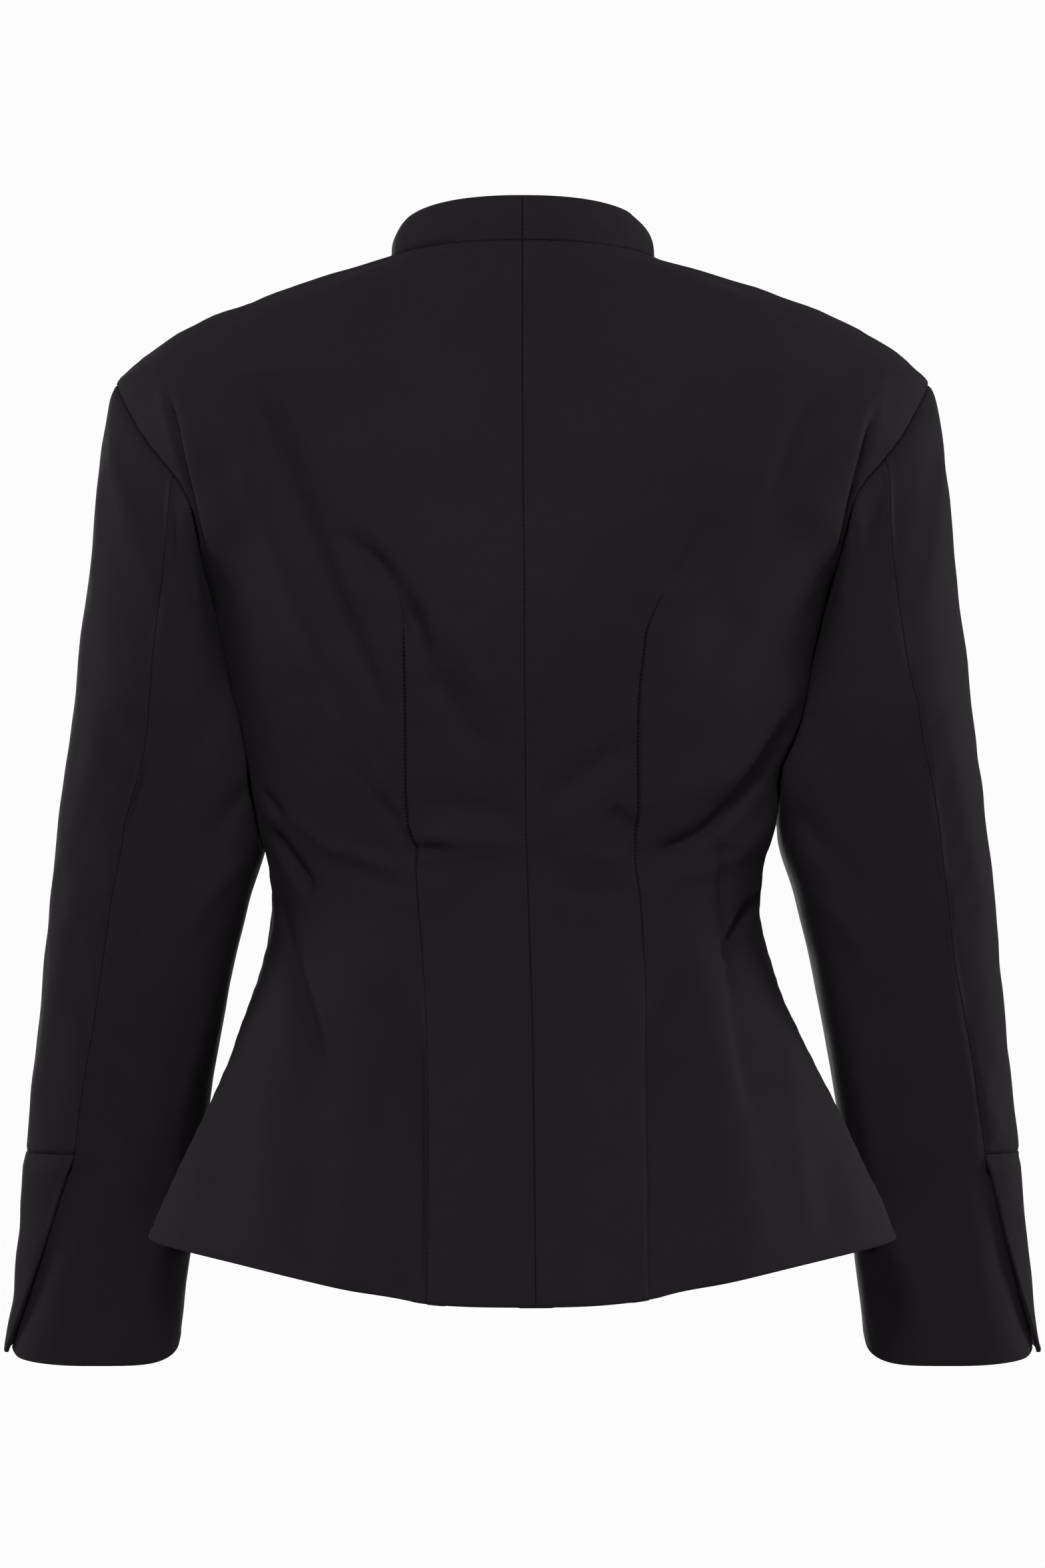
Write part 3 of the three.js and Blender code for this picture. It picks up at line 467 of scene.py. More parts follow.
# A closed cloth wall on a grid of outer points: each is moved along its normal by its creases and
# down into the ditches of seams, and its inner point lies the wall's thickness further in. slit is
# a column whose two copies part below the row joined. sewn lists the border lines that are sewn,
# the others are free, and ditches says how deep each ditch is, against a plain seam's, and so how
# wide the painted shade in that ditch is.
def clothPiece(
    name, outer, normals, uv, inner, sewn, seed,
    creases=0.0, ditches=None, slit=None, joined=None,
):
    number = np.arange(outer.shape[0] * outer.shape[1]).reshape(outer.shape[:2])
    if slit is not None:
        number[joined:, slit + 1] = number[joined:, slit]
    grid = np.stack([number[:-1, :-1], number[:-1, 1:], number[1:, 1:], number[1:, :-1]], -1)
    if slit is not None:
        grid = np.delete(grid, slit, axis=1)
    faces = grid.reshape(-1, 4)
    flat, out, uv = outer.reshape(-1, 3), normals.reshape(-1, 3), uv.reshape(-1, 2)
    detail = np.broadcast_to(creases, outer.shape[:2]).reshape(-1)
    count = len(flat)

    # the outline of the grid as directed edges, each used by one face only
    edges = np.stack([faces, np.roll(faces, -1, axis=1)], -1).reshape(-1, 2)
    code, back = edges[:, 0] * count + edges[:, 1], edges[:, 1] * count + edges[:, 0]
    rim = edges[~np.isin(code, back)]

    distance, sewnGap, shadeGap = (np.full(count, 1e3) for _ in range(3))
    along, dip, rounded = (np.zeros(count) for _ in range(3))
    for index, line in enumerate(borderLines(number, slit, joined)):
        near, run = nearest(flat, flat[line])
        if index < 4:
            distance = np.minimum(near, distance)
        if index in sewn:
            more = (ditches or {}).get(index, 1.0)
            more = more(flat) if callable(more) else more
            along = np.where(near < sewnGap, run, along)
            sewnGap = np.minimum(sewnGap, near)
            # shadeGap sets the width of the painted shade in the ditch, wider where the ditch is deeper
            shadeGap = np.minimum(shadeGap, near / more)
            dip = np.maximum(dip, roll(near, seam["rollWide"] * more, seam["rollDeep"] * more))
        else:
            rounded = np.maximum(rounded, roll(near, seam["edgeWide"], seam["edgeDeep"]))
    ripple = np.sin(along * 2 * np.pi / seam["puckerLong"] + 1.3 * np.sin(along / 23))
    pucker = seam["pucker"] * ripple * np.exp(-((sewnGap / seam["puckerWide"]) ** 2))
    # creases and waves die away at the edges, so that pieces meet
    calm = smooth(0, seam["calm"], distance)
    height = (detail + unevenness(uv[:, 0], uv[:, 1], seed)) * calm + pucker
    lifted = flat + out * (height - np.maximum(dip, rounded))[:, None]
    pressed = smooth(allowance["wide"] + allowance["fade"], allowance["wide"], sewnGap)
    thick = inner.reshape(-1) + allowance["thick"] * pressed - allowance["inside"] * rounded
    under = flat + out * (height - thick)[:, None]

    start = lifted[faces[:, 0]]
    turn = np.cross(lifted[faces[:, 1]] - start, lifted[faces[:, 3]] - start)
    if (turn * out[faces[:, 0]]).sum() < 0:
        faces, rim = faces[:, ::-1], rim[:, ::-1]
    sides = np.stack([rim[:, 1], rim[:, 0], rim[:, 0] + count, rim[:, 1] + count], -1)
    everything = np.concatenate([faces, faces[:, ::-1] + count, sides])
    used, packed = np.unique(everything, return_inverse=True)
    # seamGap carries the mask of the painted seam shade to the material; seamRun places the stitches
    marks = {"seamGap": np.tile(shadeGap, 2)[used], "seamRun": np.tile(along, 2)[used]}
    points, both = np.concatenate([lifted, under])[used], np.concatenate([uv, uv])[used]
    piece = addMesh(name, points, packed.reshape(everything.shape), suiting, both, marks)
    half = np.cross(flat[faces[:, 2]] - flat[faces[:, 0]], flat[faces[:, 3]] - flat[faces[:, 1]]) / 2
    area = np.linalg.norm(half, axis=-1).sum() * 1e-6
    print(f"{name}: {len(everything) * 2} triangles, {area:.4f} square metres of cloth", flush=True)
    return piece


def armholeDitch(p):  # deep on the shoulder, and next to nothing under the arm, where walls part
    top = np.where(p[:, 1] > 0, -185, -150)
    return 0.1 + 1.7 * smooth(0, 1, (p[:, 2] - top) / 25)


def lengths(points, axis):  # running length along a grid's rows or columns
    step = np.linalg.norm(np.diff(points, axis=axis), axis=-1)
    zero = np.zeros_like(np.take(step, [0], axis=axis))
    return np.concatenate([zero, np.cumsum(step, axis=axis)], axis)


# Body panels
pleat = dict(centre=0.9, side=-1.0, wide=26)
lap = dict(over=18, under=20, sink=2.8, blendFrom=24, blendTo=50)
# Faces across and up each panel; the back shows most creases, so it is the finer one
panelDetail = {
    1: dict(centreColumns=44, sideColumns=98, skirt=82, chest=52, armhole=62, shoulder=38),
    -1: dict(centreColumns=36, sideColumns=70, skirt=62, chest=42, armhole=50, shoulder=30),
}


hemRows = [0, 0.0012, 0.0028, 0.005, 0.009]  # rows close together at the hem, as shares of the skirt


def panelEnds(face):  # height and angle of the outer end of each row, from the hem to the neck
    d = panelDetail[face]
    share = np.concatenate([hemRows, np.linspace(0.015, 1, d["skirt"])])
    skirt = mix(shape["hemSide"], shape["waist"], share)
    chest = np.linspace(shape["waist"], shape["underarm"], d["chest"] + 1)[1:]
    phi = np.radians(np.linspace(180, 0, d["armhole"] + 1))[1:]
    holeZ, holeAngle = armholePlace(phi, face)
    shoulder = mix(shape["shoulderTip"], 0, oneSided(d["shoulder"]))[1:]
    shoulder[-1] = 0
    z = np.concatenate([skirt, chest, holeZ, shoulder])
    angle = np.concatenate([0 * skirt, 0 * chest, holeAngle, 0 * shoulder])
    toNeck = smooth(0.2, 1, np.linspace(0, 1, len(shoulder) + 1)[1:])
    neckShare = np.concatenate([0 * skirt, 0 * chest, 0 * phi, toNeck])
    return z, angle, neckShare


def middleHeight(z, face, neckZ):
    hemZ = shape["hemBack"] if face > 0 else shape["hemFront"]
    below = mix(shape["waist"], hemZ, (shape["waist"] - z) / (shape["waist"] - shape["hemSide"]))
    above = mix(shape["underarm"], neckZ, (z - shape["underarm"]) / -shape["underarm"])
    return np.where(z < shape["waist"], below, np.where(z < shape["underarm"], z, above))


# Half of the back or front: rows run from the hem to the neck, columns from the middle to the
# dart and on to the side. creases lists what lies on it.
def bodyPanel(name, face, hand, centreX, dartX, dartTip, sinkAt, creases, seed):
    d = panelDetail[face]
    shareC, shareS = crowded(d["centreColumns"]), crowded(d["sideColumns"])
    psiC, psiD = (math.acos(v / neck["halfWidth"]) for v in (centreX(0), dartX(0)))
    psi = np.concatenate([mix(psiC, psiD, shareC), mix(psiD, 0, shareS)])
    _, _, neckZ, neckAngle = neckPlace(psi, face)
    slit = len(shareC) - 1
    isSide = np.arange(len(psi)) > slit
    share = np.concatenate([shareC, shareS])
    rowZ, rowAngle, neckShare = (v[:, None] for v in panelEnds(face))
    outerEnd = np.where(rowAngle > 0, rowAngle, seam["gap"] / 2 / section(rowZ, face)[0])

    def anglesAt(z, end, gap):
        dart = angleAt(dartX(z) + gap * np.where(isSide, 1, -1), z, face, hand)
        middle = angleAt(centreX(z) + seam["gap"] / 2, z, face, hand)
        return np.where(isSide, mix(dart, end, share), mix(middle, dart, share))

    upper = (neckZ - neckZ[0]) / (neckZ[-1] - neckZ[0])
    lower = np.abs(np.cos(anglesAt(rowZ, 0, 0))) ** shape["hemCurve"]
    climb = np.where(rowZ > shape["waist"], upper, lower)
    z = mix(middleHeight(rowZ, face, neckZ[0]), rowZ, climb)
    joined = int(np.argmax(z[:, slit] > dartTip))
    gap = seam["gap"] / 2 * (np.arange(len(rowZ)) < joined)[:, None]
    angle = mix(anglesAt(z, outerEnd, gap), neckAngle, neckShare)
    fromDart = np.abs(lengths(bodyPoint(angle, z, face, hand), 1))
    fromDart = np.abs(fromDart - fromDart[:, slit : slit + 1])
    near = np.exp(-fromDart / pleat["wide"]) * (z < dartTip)
    raised = near * np.where(isSide, pleat["side"], pleat["centre"]) * (face > 0)
    step = raised * smooth(shape["waist"], shape["hemSide"], z) + sinkAt(angle, z)
    outer = bodyPoint(angle, z, face, hand, step)
    normals = bodyNormal(angle, z, face, hand, step)
    across = lengths(outer, 1)
    uv = np.stack([hand * across, lengths(outer, 0)], -1)
    height = creaseHeight(creases, outer[..., 0], outer[..., 2])
    sewn = (0, 1, 3, 4, 5) if face > 0 else (1, 3, 4, 5)
    which = sideOf(hand) if face > 0 else "front"

    def dart(p):
        return look(dartDepth, which, np.minimum(p[:, 2], backDartTip))

    def side(p):  # plain down the side and on the shoulder, and as the sleeve's along the armhole
        hole = smooth(-216, -213, p[:, 2]) * smooth(-66, -80, p[:, 2])
        return mix(1.0, armholeDitch(p), hole)

    ditches = {0: 0.8, 1: side, 3: 1.7, 4: dart, 5: dart}
    thick = allowance["cloth"] + turnedHem(z - z[0])
    return clothPiece(name, outer, normals, uv, thick, sewn, seed, height, ditches, slit, joined)


# Sleeves
sleeve = table("z inner outer y depth", [
    (-262, 160, 263.5, -12, 60),
    (-300, 149.5, 268.7, -13, 55),
    (-336, 150, 273.4, -16, 50),
    (-375, 161.5, 277.8, -20, 47),
    (-415, 170.5, 282, -26, 45),
    (-455, 178.5, 286.6, -33, 43),
    (-495, 186.5, 291.3, -40, 41),
    (-535, 191.5, 295.6, -47, 39.5),
    (-575, 196, 298.8, -54, 38),
    (-615, 201.5, 303.4, -60, 37),
    (-652, 205.5, 308, -65, 36.5),
])
elbowSeam = table("z left right", [
    (-144.5, 78, 70),
    (-190, 82, 75),
    (-235, 84.5, 76),
    (-262, 86.8, 73.5),
    (-285, 83, 69),
    (-303, 79.5, 65.6),
    (-340, 73.4, 62.8),
    (-372, 72.9, 64),
    (-410, 72.6, 64.6),
    (-440, 72.1, 62.3),
    (-480, 70.3, 59.4),
    (-525, 69.2, 58.1),
    (-640, 69, 58),
])
arm = dict(
    capZ=-262, cuffZ=-644, ventZ=-525, frontSeam=145, squareOuter=2.2, squareInner=3.8,
    tuckLeft=4, tuckRight=10, tuckFrom=-336, tuckFull=-300, radius=48, clear=1.6, capClear=-0.05,
    puff=4, rise=0.03, round=0.25, side=0.3, up=0.15, clearBy=0.25, tilt=0.2, corner=4,
    above=2, below=10, slantFrom=60, slantUntil=110,
)
vent = dict(endTurn=11, underlap=12, sink=2.2, proud=1.4, tuck=10, drop=24, reach=30, lift=1.6)
sleeveDetail = dict(cap=34, tube=90, vent=42, upper=84, under=56)
# Creases on each sleeve, as degrees round and height: 0 is outside, 90 the back
sleeveCreases = {
    "left": [
        (28, -96, 88, -208, 0, 2.6, 5, 7),
        (52, -110, 110, -214, 0, -1.8, 9, 8),
        (120, -250, 84, -330, 6, -2.2, 7, 8),
        (138, -306, 98, -372, 8, -2.4, 7, 8),
        (140, -352, 104, -400, 6, 1.8, 7, 8),
        (60, -250, 30, -360, 0, 1.8, 9, 10),
        (46, -350, 26, -500, 0, 2.2, 9, 10),
        (78, -440, 96, -540, -4, -1.8, 8, 9),
        (132, -440, 120, -590, 0, 1.8, 9, 9),
        (-60, -140, -30, -250, -4, -2.5, 7.6, 8.5),
        (-120, -240, -70, -318, -5, -3.6, 6.8, 7.6),
        (-138, -310, -84, -368, -6, -4.2, 6, 7.6),
        (-140, -352, -92, -392, -5, 3.0, 6.8, 6.8),
        (-138, -380, -104, -418, -5, -3.4, 6, 6.8),
        (-130, -430, -70, -470, -4, -2.4, 6.8, 7.6),
        (-40, -420, -20, -560, 0, 2.2, 10, 10),
        (-100, -500, -80, -610, 0, 2.0, 8.5, 10),
    ],
    "right": [
        (20, -104, 58, -200, 0, 2.0, 6, 8),
        (70, -130, 104, -226, 0, -1.6, 9, 8),
        (126, -262, 86, -336, 6, -2.0, 8, 8),
        (136, -322, 92, -392, 7, -2.4, 7, 8),
        (134, -372, 100, -420, 6, 1.6, 7, 8),
        (50, -262, 34, -392, 0, 1.8, 9, 10),
        (90, -420, 104, -520, -4, -1.6, 8, 9),
        (60, -470, 44, -520, 0, 1.6, 9, 9),
        (126, -460, 118, -600, 0, 2.0, 9, 9),
        (-50, -150, -26, -262, -4, -2.3, 8, 8.5),
        (-124, -250, -74, -330, -5, -3.4, 6.8, 7.6),
        (-136, -322, -80, -380, -6, -3.8, 6, 7.6),
        (-138, -366, -96, -404, -5, 2.8, 6.8, 6.8),
        (-134, -440, -74, -476, -4, -2.6, 6.8, 7.6),
        (-46, -400, -24, -540, 0, 2.0, 10, 10),
        (-98, -510, -76, -606, 0, 1.8, 8.5, 10),
    ],
}


def signedPower(v, p):
    return np.sign(v) * np.abs(v) ** p


def bodyWidthAt(y, z, hand):  # half width of the body at a y and z, nothing past its reach
    widest = look(body, "widestY", z)
    face = np.where(y >= widest, 1, -1)
    half, _, reach, squareness, shift = section(z, face)
    share = np.minimum(np.abs(y - widest) / reach, 1)
    x = half * (1 - share**squareness) ** (1 / squareness)
    wide = x + hand * shift + np.maximum(foldHeight(hand * x + shift, z, face), 0) * (x / half)
    return np.where(share >= 1, 0, wide)


def ringPoint(phi, z, hand, step):  # superellipse between the inner and outer side, cuff sloped
    c, s = np.cos(phi), np.sin(phi)
    inner, outer = look(sleeve, "inner", z), look(sleeve, "outer", z)
    bend = 2 / np.where(c < 0, arm["squareInner"], arm["squareOuter"])
    tuck = np.where(c < 0, arm["tuck" + sideOf(hand).title()], 0)
    half = (outer - inner) / 2 + tuck * smooth(arm["tuckFrom"], arm["tuckFull"], z) + step
    fromMiddle = (look(sleeve, "depth", z) + step) * signedPower(s, bend)
    x = (inner + outer) / 2 + half * signedPower(c, bend)
    slope = arm["corner"] * np.maximum(-c, 0) ** 3 - arm["tilt"] * fromMiddle
    lowered = z + slope * smooth(arm["ventZ"], arm["cuffZ"], z)
    return np.stack([x, look(sleeve, "y", z) + fromMiddle, lowered], -1)


def sleevePoint(phi, station, hand, step=0.0):  # station 0 to 1 is the cap, 1 to 2 the tube
    c, s = np.cos(phi), np.sin(phi)
    face = np.where(s >= 0, 1, -1)
    holeZ, holeAngle = armholePlace(np.abs(phi), face)
    start = bodyPoint(holeAngle, holeZ, face, hand) * np.array([hand, 1, 1])
    start = start + np.array([arm["capClear"], 0, 0])
    capShare = np.clip(station, 0, 1)
    z = mix(arm["capZ"], arm["cuffZ"], np.maximum(station - 1, 0))
    down = ringPoint(phi, z, hand, step)
    p = mix(start, down, capShare[..., None])
    swell = (1 - np.exp(-capShare / arm["rise"])) * (1 - capShare) * np.maximum(c + arm["round"], 0)
    way = np.stack([np.ones_like(s), arm["side"] * s, np.full_like(s, arm["up"])], -1)
    p = p + way * (arm["puff"] * swell)[..., None]
    clear = mix(arm["capClear"], arm["clear"], smooth(0, arm["clearBy"], capShare))
    high, low = shape["underarm"] + arm["above"], shape["hemSide"] - arm["below"]
    beside = (p[..., 2] < high) & (p[..., 2] > low)
    out = np.maximum(p[..., 0], bodyWidthAt(p[..., 1], p[..., 2], hand) + clear)
    x = hand * np.where(beside, out, p[..., 0])
    return np.stack([x, p[..., 1], p[..., 2]], -1)


def stationAt(z):
    return 1 + (z - arm["capZ"]) / (arm["cuffZ"] - arm["capZ"])


def stationZ(station):  # a rough height on the cap
    capMiddle = (shape["shoulderTip"] + shape["underarm"]) / 2
    tube = mix(arm["capZ"], arm["cuffZ"], station - 1)
    return np.where(station > 1, tube, mix(capMiddle, arm["capZ"], station))


def ventTurn(z, hand):  # the elbow's line, then straight to the outside of the cuff
    elbow = look(elbowSeam, sideOf(hand), z)
    start, end = np.cos(np.radians(elbow)), math.cos(math.radians(vent["endTurn"]))
    way = np.clip((arm["ventZ"] - z) / (arm["ventZ"] - arm["cuffZ"]), 0, 1)
    return np.where(z > arm["ventZ"], elbow, np.degrees(np.arccos(mix(start, end, way))))


def sleevePanel(name, hand, stations, turnsAt, stepAt, sewn, seed):
    z = stationZ(stations)[:, None]
    degrees = turnsAt(z)
    station = np.broadcast_to(stations[:, None], degrees.shape)
    phi = np.radians(np.where(degrees > 180, degrees - 360, degrees))
    step = stepAt(degrees, z) if stepAt else 0 * degrees
    within = np.clip(station, 0.012, 1.99)
    out = np.stack([hand * np.cos(phi), np.sin(phi), 0 * phi], -1)
    normals = normalOf(lambda a, b: sleevePoint(a, b, hand, step), phi, within, 0.03, 0.01, out)
    face = np.where(phi >= 0, 1, -1)
    holeZ, holeAngle = armholePlace(np.abs(phi), face)
    shared = bodyNormal(holeAngle, holeZ, face, hand)
    slant = smooth(arm["slantUntil"], arm["slantFrom"], np.degrees(np.abs(phi))) * (station <= 0)
    normals = unit(mix(normals, shared, slant[..., None]))
    outer = sleevePoint(phi, station, hand, step)
    perDegree = math.radians(1) * arm["radius"]
    rows = sleeveCreases[sideOf(hand)]
    lines = [(a * perDegree, v0, b * perDegree, v1, *rest) for a, v0, b, v1, *rest in rows]
    height = creaseHeight(lines, degrees * perDegree, outer[..., 2])
    height = height + creaseHeight(lines, (degrees - 360) * perDegree, outer[..., 2])
    uv = np.stack([hand * np.radians(degrees) * arm["radius"], lengths(outer, 0)], -1)
    thick = allowance["cloth"] + turnedHem(outer[..., 2] - outer[-1, :, 2]) * (stations[-1] >= 2)
    ditches = {0: 0.6, 1: 0.6, 2: armholeDitch if stations[0] < 1 else 1.0}
    return clothPiece(name, outer, normals, uv, thick, sewn, seed, height, ditches)


def sunk(z):
    return smooth(arm["ventZ"], arm["ventZ"] - vent["tuck"], z)


def makeSleeve(hand, word, seed):
    d = sleeveDetail
    seamTurn = math.degrees(seam["gap"] / 2 / arm["radius"])
    shareUpper, shareUnder = crowded(d["upper"]), crowded(d["under"])
    cap = np.linspace(0, 1, d["cap"] + 1) ** 1.6
    tube = np.linspace(1, stationAt(arm["ventZ"]), d["tube"])[1:]
    low = mix(stationAt(arm["ventZ"] - vent["drop"]), 2, np.sin(np.linspace(0, np.pi / 2, d["vent"])))
    below = np.concatenate([np.linspace(stationAt(arm["ventZ"] - 3), low[0], 8)[:-1], low])

    def upperTurns(z):
        start = seamTurn - arm["frontSeam"]
        return mix(start, ventTurn(z, hand) - seamTurn, shareUpper)

    def underTurns(z):
        lapped = smooth(arm["ventZ"] - vent["tuck"], arm["ventZ"] - vent["drop"], z)
        edge = ventTurn(z, hand) + seamTurn - vent["underlap"] * lapped
        return mix(edge, 360 - arm["frontSeam"] - seamTurn, shareUnder)

    def cuffStep(degrees, z):  # proud of the under sleeve, and lifting a little at the free edge
        edge = ventTurn(z, hand)
        lifting = vent["lift"] * smooth(30, 0, edge - degrees) * smooth(arm["ventZ"] - 20, arm["cuffZ"], z)
        return vent["proud"] * sunk(z) * smooth(-60, 10, degrees) + lifting

    def underStep(degrees, z):
        line = ventTurn(z, hand)
        return -vent["sink"] * sunk(z) * smooth(line + vent["reach"], line, degrees)

    top = np.concatenate([cap, tube])
    upper = sleevePanel(f"sleeveUpper_{word}", hand, top, upperTurns, None, (0, 1, 2, 3), seed)
    long = np.concatenate([top, below])
    under = sleevePanel(f"sleeveUnder_{word}", hand, long, underTurns, underStep, (0, 1, 2), seed + 1)
    first = stationAt(arm["ventZ"] - seam["gap"])
    cuffRows = np.concatenate([mix(first, below[0], np.linspace(0, 1, 7)[:-1]), below])
    cuff = sleevePanel(f"cuffPanel_{word}", hand, cuffRows, upperTurns, cuffStep, (0, 2), seed + 2)
    return upper, under, cuff


# Stand collar
collar = dict(
    height=26.8, leanX=0.82, leanY=0.96, late=2.6, forward=2, bow=0.8, seat=-0.9, endGap=3, thick=2.6,
    around=120, up=22,
)


def makeCollar(hand, word, seed):
    ends = math.degrees(math.acos(collar["endGap"] / neck["halfWidth"]))
    turn = mix(90, -ends, crowded(collar["around"], 0.8))
    psi = np.radians(np.abs(turn))
    back, front = neckPlace(psi, 1), neckPlace(psi, -1)
    x, y, z = (np.where(turn >= 0, b, f) for b, f in zip(back[:3], front[:3]))
    x[0] = seam["gap"] / 2
    out = unit(np.stack([x / neck["halfWidth"] ** 2, (y - neck["y"]) / neck["deep"] ** 2, 0 * x], -1))
    up = crowded(collar["up"], 0.85)[:, None]
    bow = collar["bow"] * np.sin(np.pi * up)
    px = mix(x, np.maximum(x * collar["leanX"], seam["gap"] / 2), up ** collar["late"]) + bow * out[:, 0]
    py = y * mix(1, collar["leanY"], up) - collar["forward"] * up + bow * out[:, 1]
    pz = z + collar["seat"] + collar["height"] * up
    outer = np.stack([hand * px, py, pz], -1)
    normals = np.broadcast_to(out * np.array([hand, 1, 1]), outer.shape)
    uv = np.stack([hand * lengths(outer, 1), lengths(outer, 0)], -1)
    thick = np.full(outer.shape[:2], collar["thick"])
    ditches = {0: 0.8, 2: 2.2}
    return clothPiece(f"standCollar_{word}", outer, normals, uv, thick, (0, 2), seed, 0.0, ditches)


# Materials
colours = dict(
    cloth="#1e1a1e", sheen="#8a858c", button="#171517", thread="#1b191c", floor="#fefdfe", bounce="#b8b6b8",
    twill=1.1,  # drawn about twice as coarse as real 0.5 mm suiting twill, which can't show here
)


def linear(code):  # sRGB hex to linear colour
    parts = np.array([int(code[i : i + 2], 16) for i in (1, 3, 5)]) / 255
    return (*np.where(parts <= 0.04045, parts / 12.92, ((parts + 0.055) / 1.055) ** 2.4), 1.0)


def node(tree, kind, settings=None, inputs=None, links=None):  # one node with its settings
    new = tree.nodes.new(kind)
    for key, value in (settings or {}).items():
        setattr(new, key, value)
    for key, value in (inputs or {}).items():
        new.inputs[key].default_value = value
    for key, source in (links or {}).items():
        tree.links.new(source, new.inputs[key])
    return new


def newMaterial(name):
    material = bpy.data.materials.new(name)
    material.use_nodes = True
    material.node_tree.nodes.clear()
    return material, material.node_tree


def noise(tree, at, scale, detail=2.0, roughness=0.5):
    inputs = {"Scale": scale, "Detail": detail, "Roughness": roughness}
    return node(tree, "ShaderNodeTexNoise", None, inputs, {"Vector": at}).outputs["Fac"]


def mapped(tree, at, scale, turn=0):  # a pattern's place, turned and stretched
    inputs = {"Rotation": (0, 0, math.radians(turn)), "Scale": scale}
    return node(tree, "ShaderNodeMapping", None, inputs, {"Vector": at}).outputs["Vector"]


def ranged(tree, value, low, high, toLow, toHigh):  # a range stretched onto another
    inputs = {"From Min": low, "From Max": high, "To Min": toLow, "To Max": toHigh}
    return node(tree, "ShaderNodeMapRange", None, inputs, {"Value": value}).outputs[0]


def maths(tree, operation, *values):  # numbers are set, and outputs of other nodes are linked
    numbers = {i: v for i, v in enumerate(values) if isinstance(v, float)}
    sources = {i: v for i, v in enumerate(values) if i not in numbers}
    return node(tree, "ShaderNodeMath", {"operation": operation}, numbers, sources).outputs[0]


def shaded(tree, code, share):  # a colour, lighter or darker by a share
    colour = {0: linear(code)[:3]}
    scaled = node(tree, "ShaderNodeVectorMath", {"operation": "SCALE"}, colour, {"Scale": share})
    return scaled.outputs[0]


def relief(tree, height, strength, distance):
    inputs = {"Strength": strength, "Distance": distance}
    return node(tree, "ShaderNodeBump", None, inputs, {"Height": height}).outputs[0]


def objectPlace(tree):
    return node(tree, "ShaderNodeTexCoord").outputs["Object"]


def surfaceOf(tree, inputs, links):
    surface = node(tree, "ShaderNodeBsdfPrincipled", None, inputs, links)
    node(tree, "ShaderNodeOutputMaterial", None, None, {"Surface": surface.outputs[0]})


# Worsted suiting: a fine twill of near-black yarn, woven, dyed in the piece and steam-pressed.
# Colour is the dyed yarn, mottled by slubs, with painted shade darkening it in each seam's
# ditch; bump is the twill, then the threads, then the stitches that show in the ditch of a seam.
def makeSuiting():
    material, tree = newMaterial("worsted suiting, fine black twill, pressed")
    cloth = node(tree, "ShaderNodeUVMap", {"uv_map": "cloth"}).outputs["UV"]
    pitch = 1 / colours["twill"]
    turned = mapped(tree, cloth, (pitch, pitch, 1), 63)
    bands = {"wave_type": "BANDS", "bands_direction": "X", "wave_profile": "SIN"}
    wave = {"Scale": 0.32, "Distortion": 0.9, "Detail": 2.0, "Detail Scale": 1.4}
    twill = node(tree, "ShaderNodeTexWave", bands, wave, {"Vector": turned}).outputs["Fac"]
    warp = noise(tree, mapped(tree, cloth, (1.6, 0.05, 1)), 1.0, 3.0, 0.6)
    weft = noise(tree, mapped(tree, cloth, (0.05, 1.6, 1)), 1.0, 3.0, 0.6)
    threads = maths(tree, "ADD", warp, weft)
    cloud = noise(tree, objectPlace(tree), 7.0, 4.0, 0.55)

    gap = node(tree, "ShaderNodeAttribute", {"attribute_name": "seamGap"}).outputs["Fac"]
    run = node(tree, "ShaderNodeAttribute", {"attribute_name": "seamRun"}).outputs["Fac"]
    ditch = ranged(tree, gap, 0.0, 0.7, 1.0, 0.0)
    stitch = maths(tree, "SINE", maths(tree, "MULTIPLY", run, 2 * math.pi / seam["stitch"]))
    stitchIn = maths(tree, "MULTIPLY", stitch, ditch)

    tone = ranged(tree, threads, 0.6, 1.4, 0.80, 1.24)
    patch = ranged(tree, cloud, 0.3, 0.7, 0.92, 1.08)
    # painted shade: the cloth's colour falls to 0.55 in the ditch of each seam, where shade would fall
    shade = ranged(tree, ditch, 0.0, 1.0, 1.0, 0.55)
    # colour share: the yarn's tone and mottling, times the painted seam shade
    yarnToneAndPaintedShade = maths(tree, "MULTIPLY", maths(tree, "MULTIPLY", tone, patch), shade)
    sewn = maths(tree, "MULTIPLY_ADD", twill, 0.15, stitchIn)
    high = maths(tree, "MULTIPLY_ADD", threads, 0.29, sewn)
    inputs = {"Specular IOR Level": 0.12, "Sheen Weight": 0.06, "Sheen Roughness": 0.35}
    inputs["Sheen Tint"] = linear(colours["sheen"])
    surfaceOf(tree, inputs, {
        "Base Color": shaded(tree, colours["cloth"], yarnToneAndPaintedShade),
        "Roughness": ranged(tree, threads, 0.6, 1.4, 0.72, 0.9),
        "Normal": relief(tree, high, 1.0, 0.00028),
    })
    return material


# Moulded polyester: cast, tumbled to a satin face, with faint clouding.
def makeButtonMaterial():
    material, tree = newMaterial("moulded polyester button, satin black")
    place = objectPlace(tree)
    cloud = noise(tree, place, 240.0, 4.0)
    tone = ranged(tree, cloud, 0.3, 0.7, 0.75, 1.5)
    surfaceOf(tree, {"Specular IOR Level": 0.5}, {
        "Base Color": shaded(tree, colours["button"], tone),
        "Roughness": ranged(tree, cloud, 0.3, 0.7, 0.28, 0.42),
        "Normal": relief(tree, noise(tree, place, 1500.0), 0.15, 0.00005),
    })
    return material


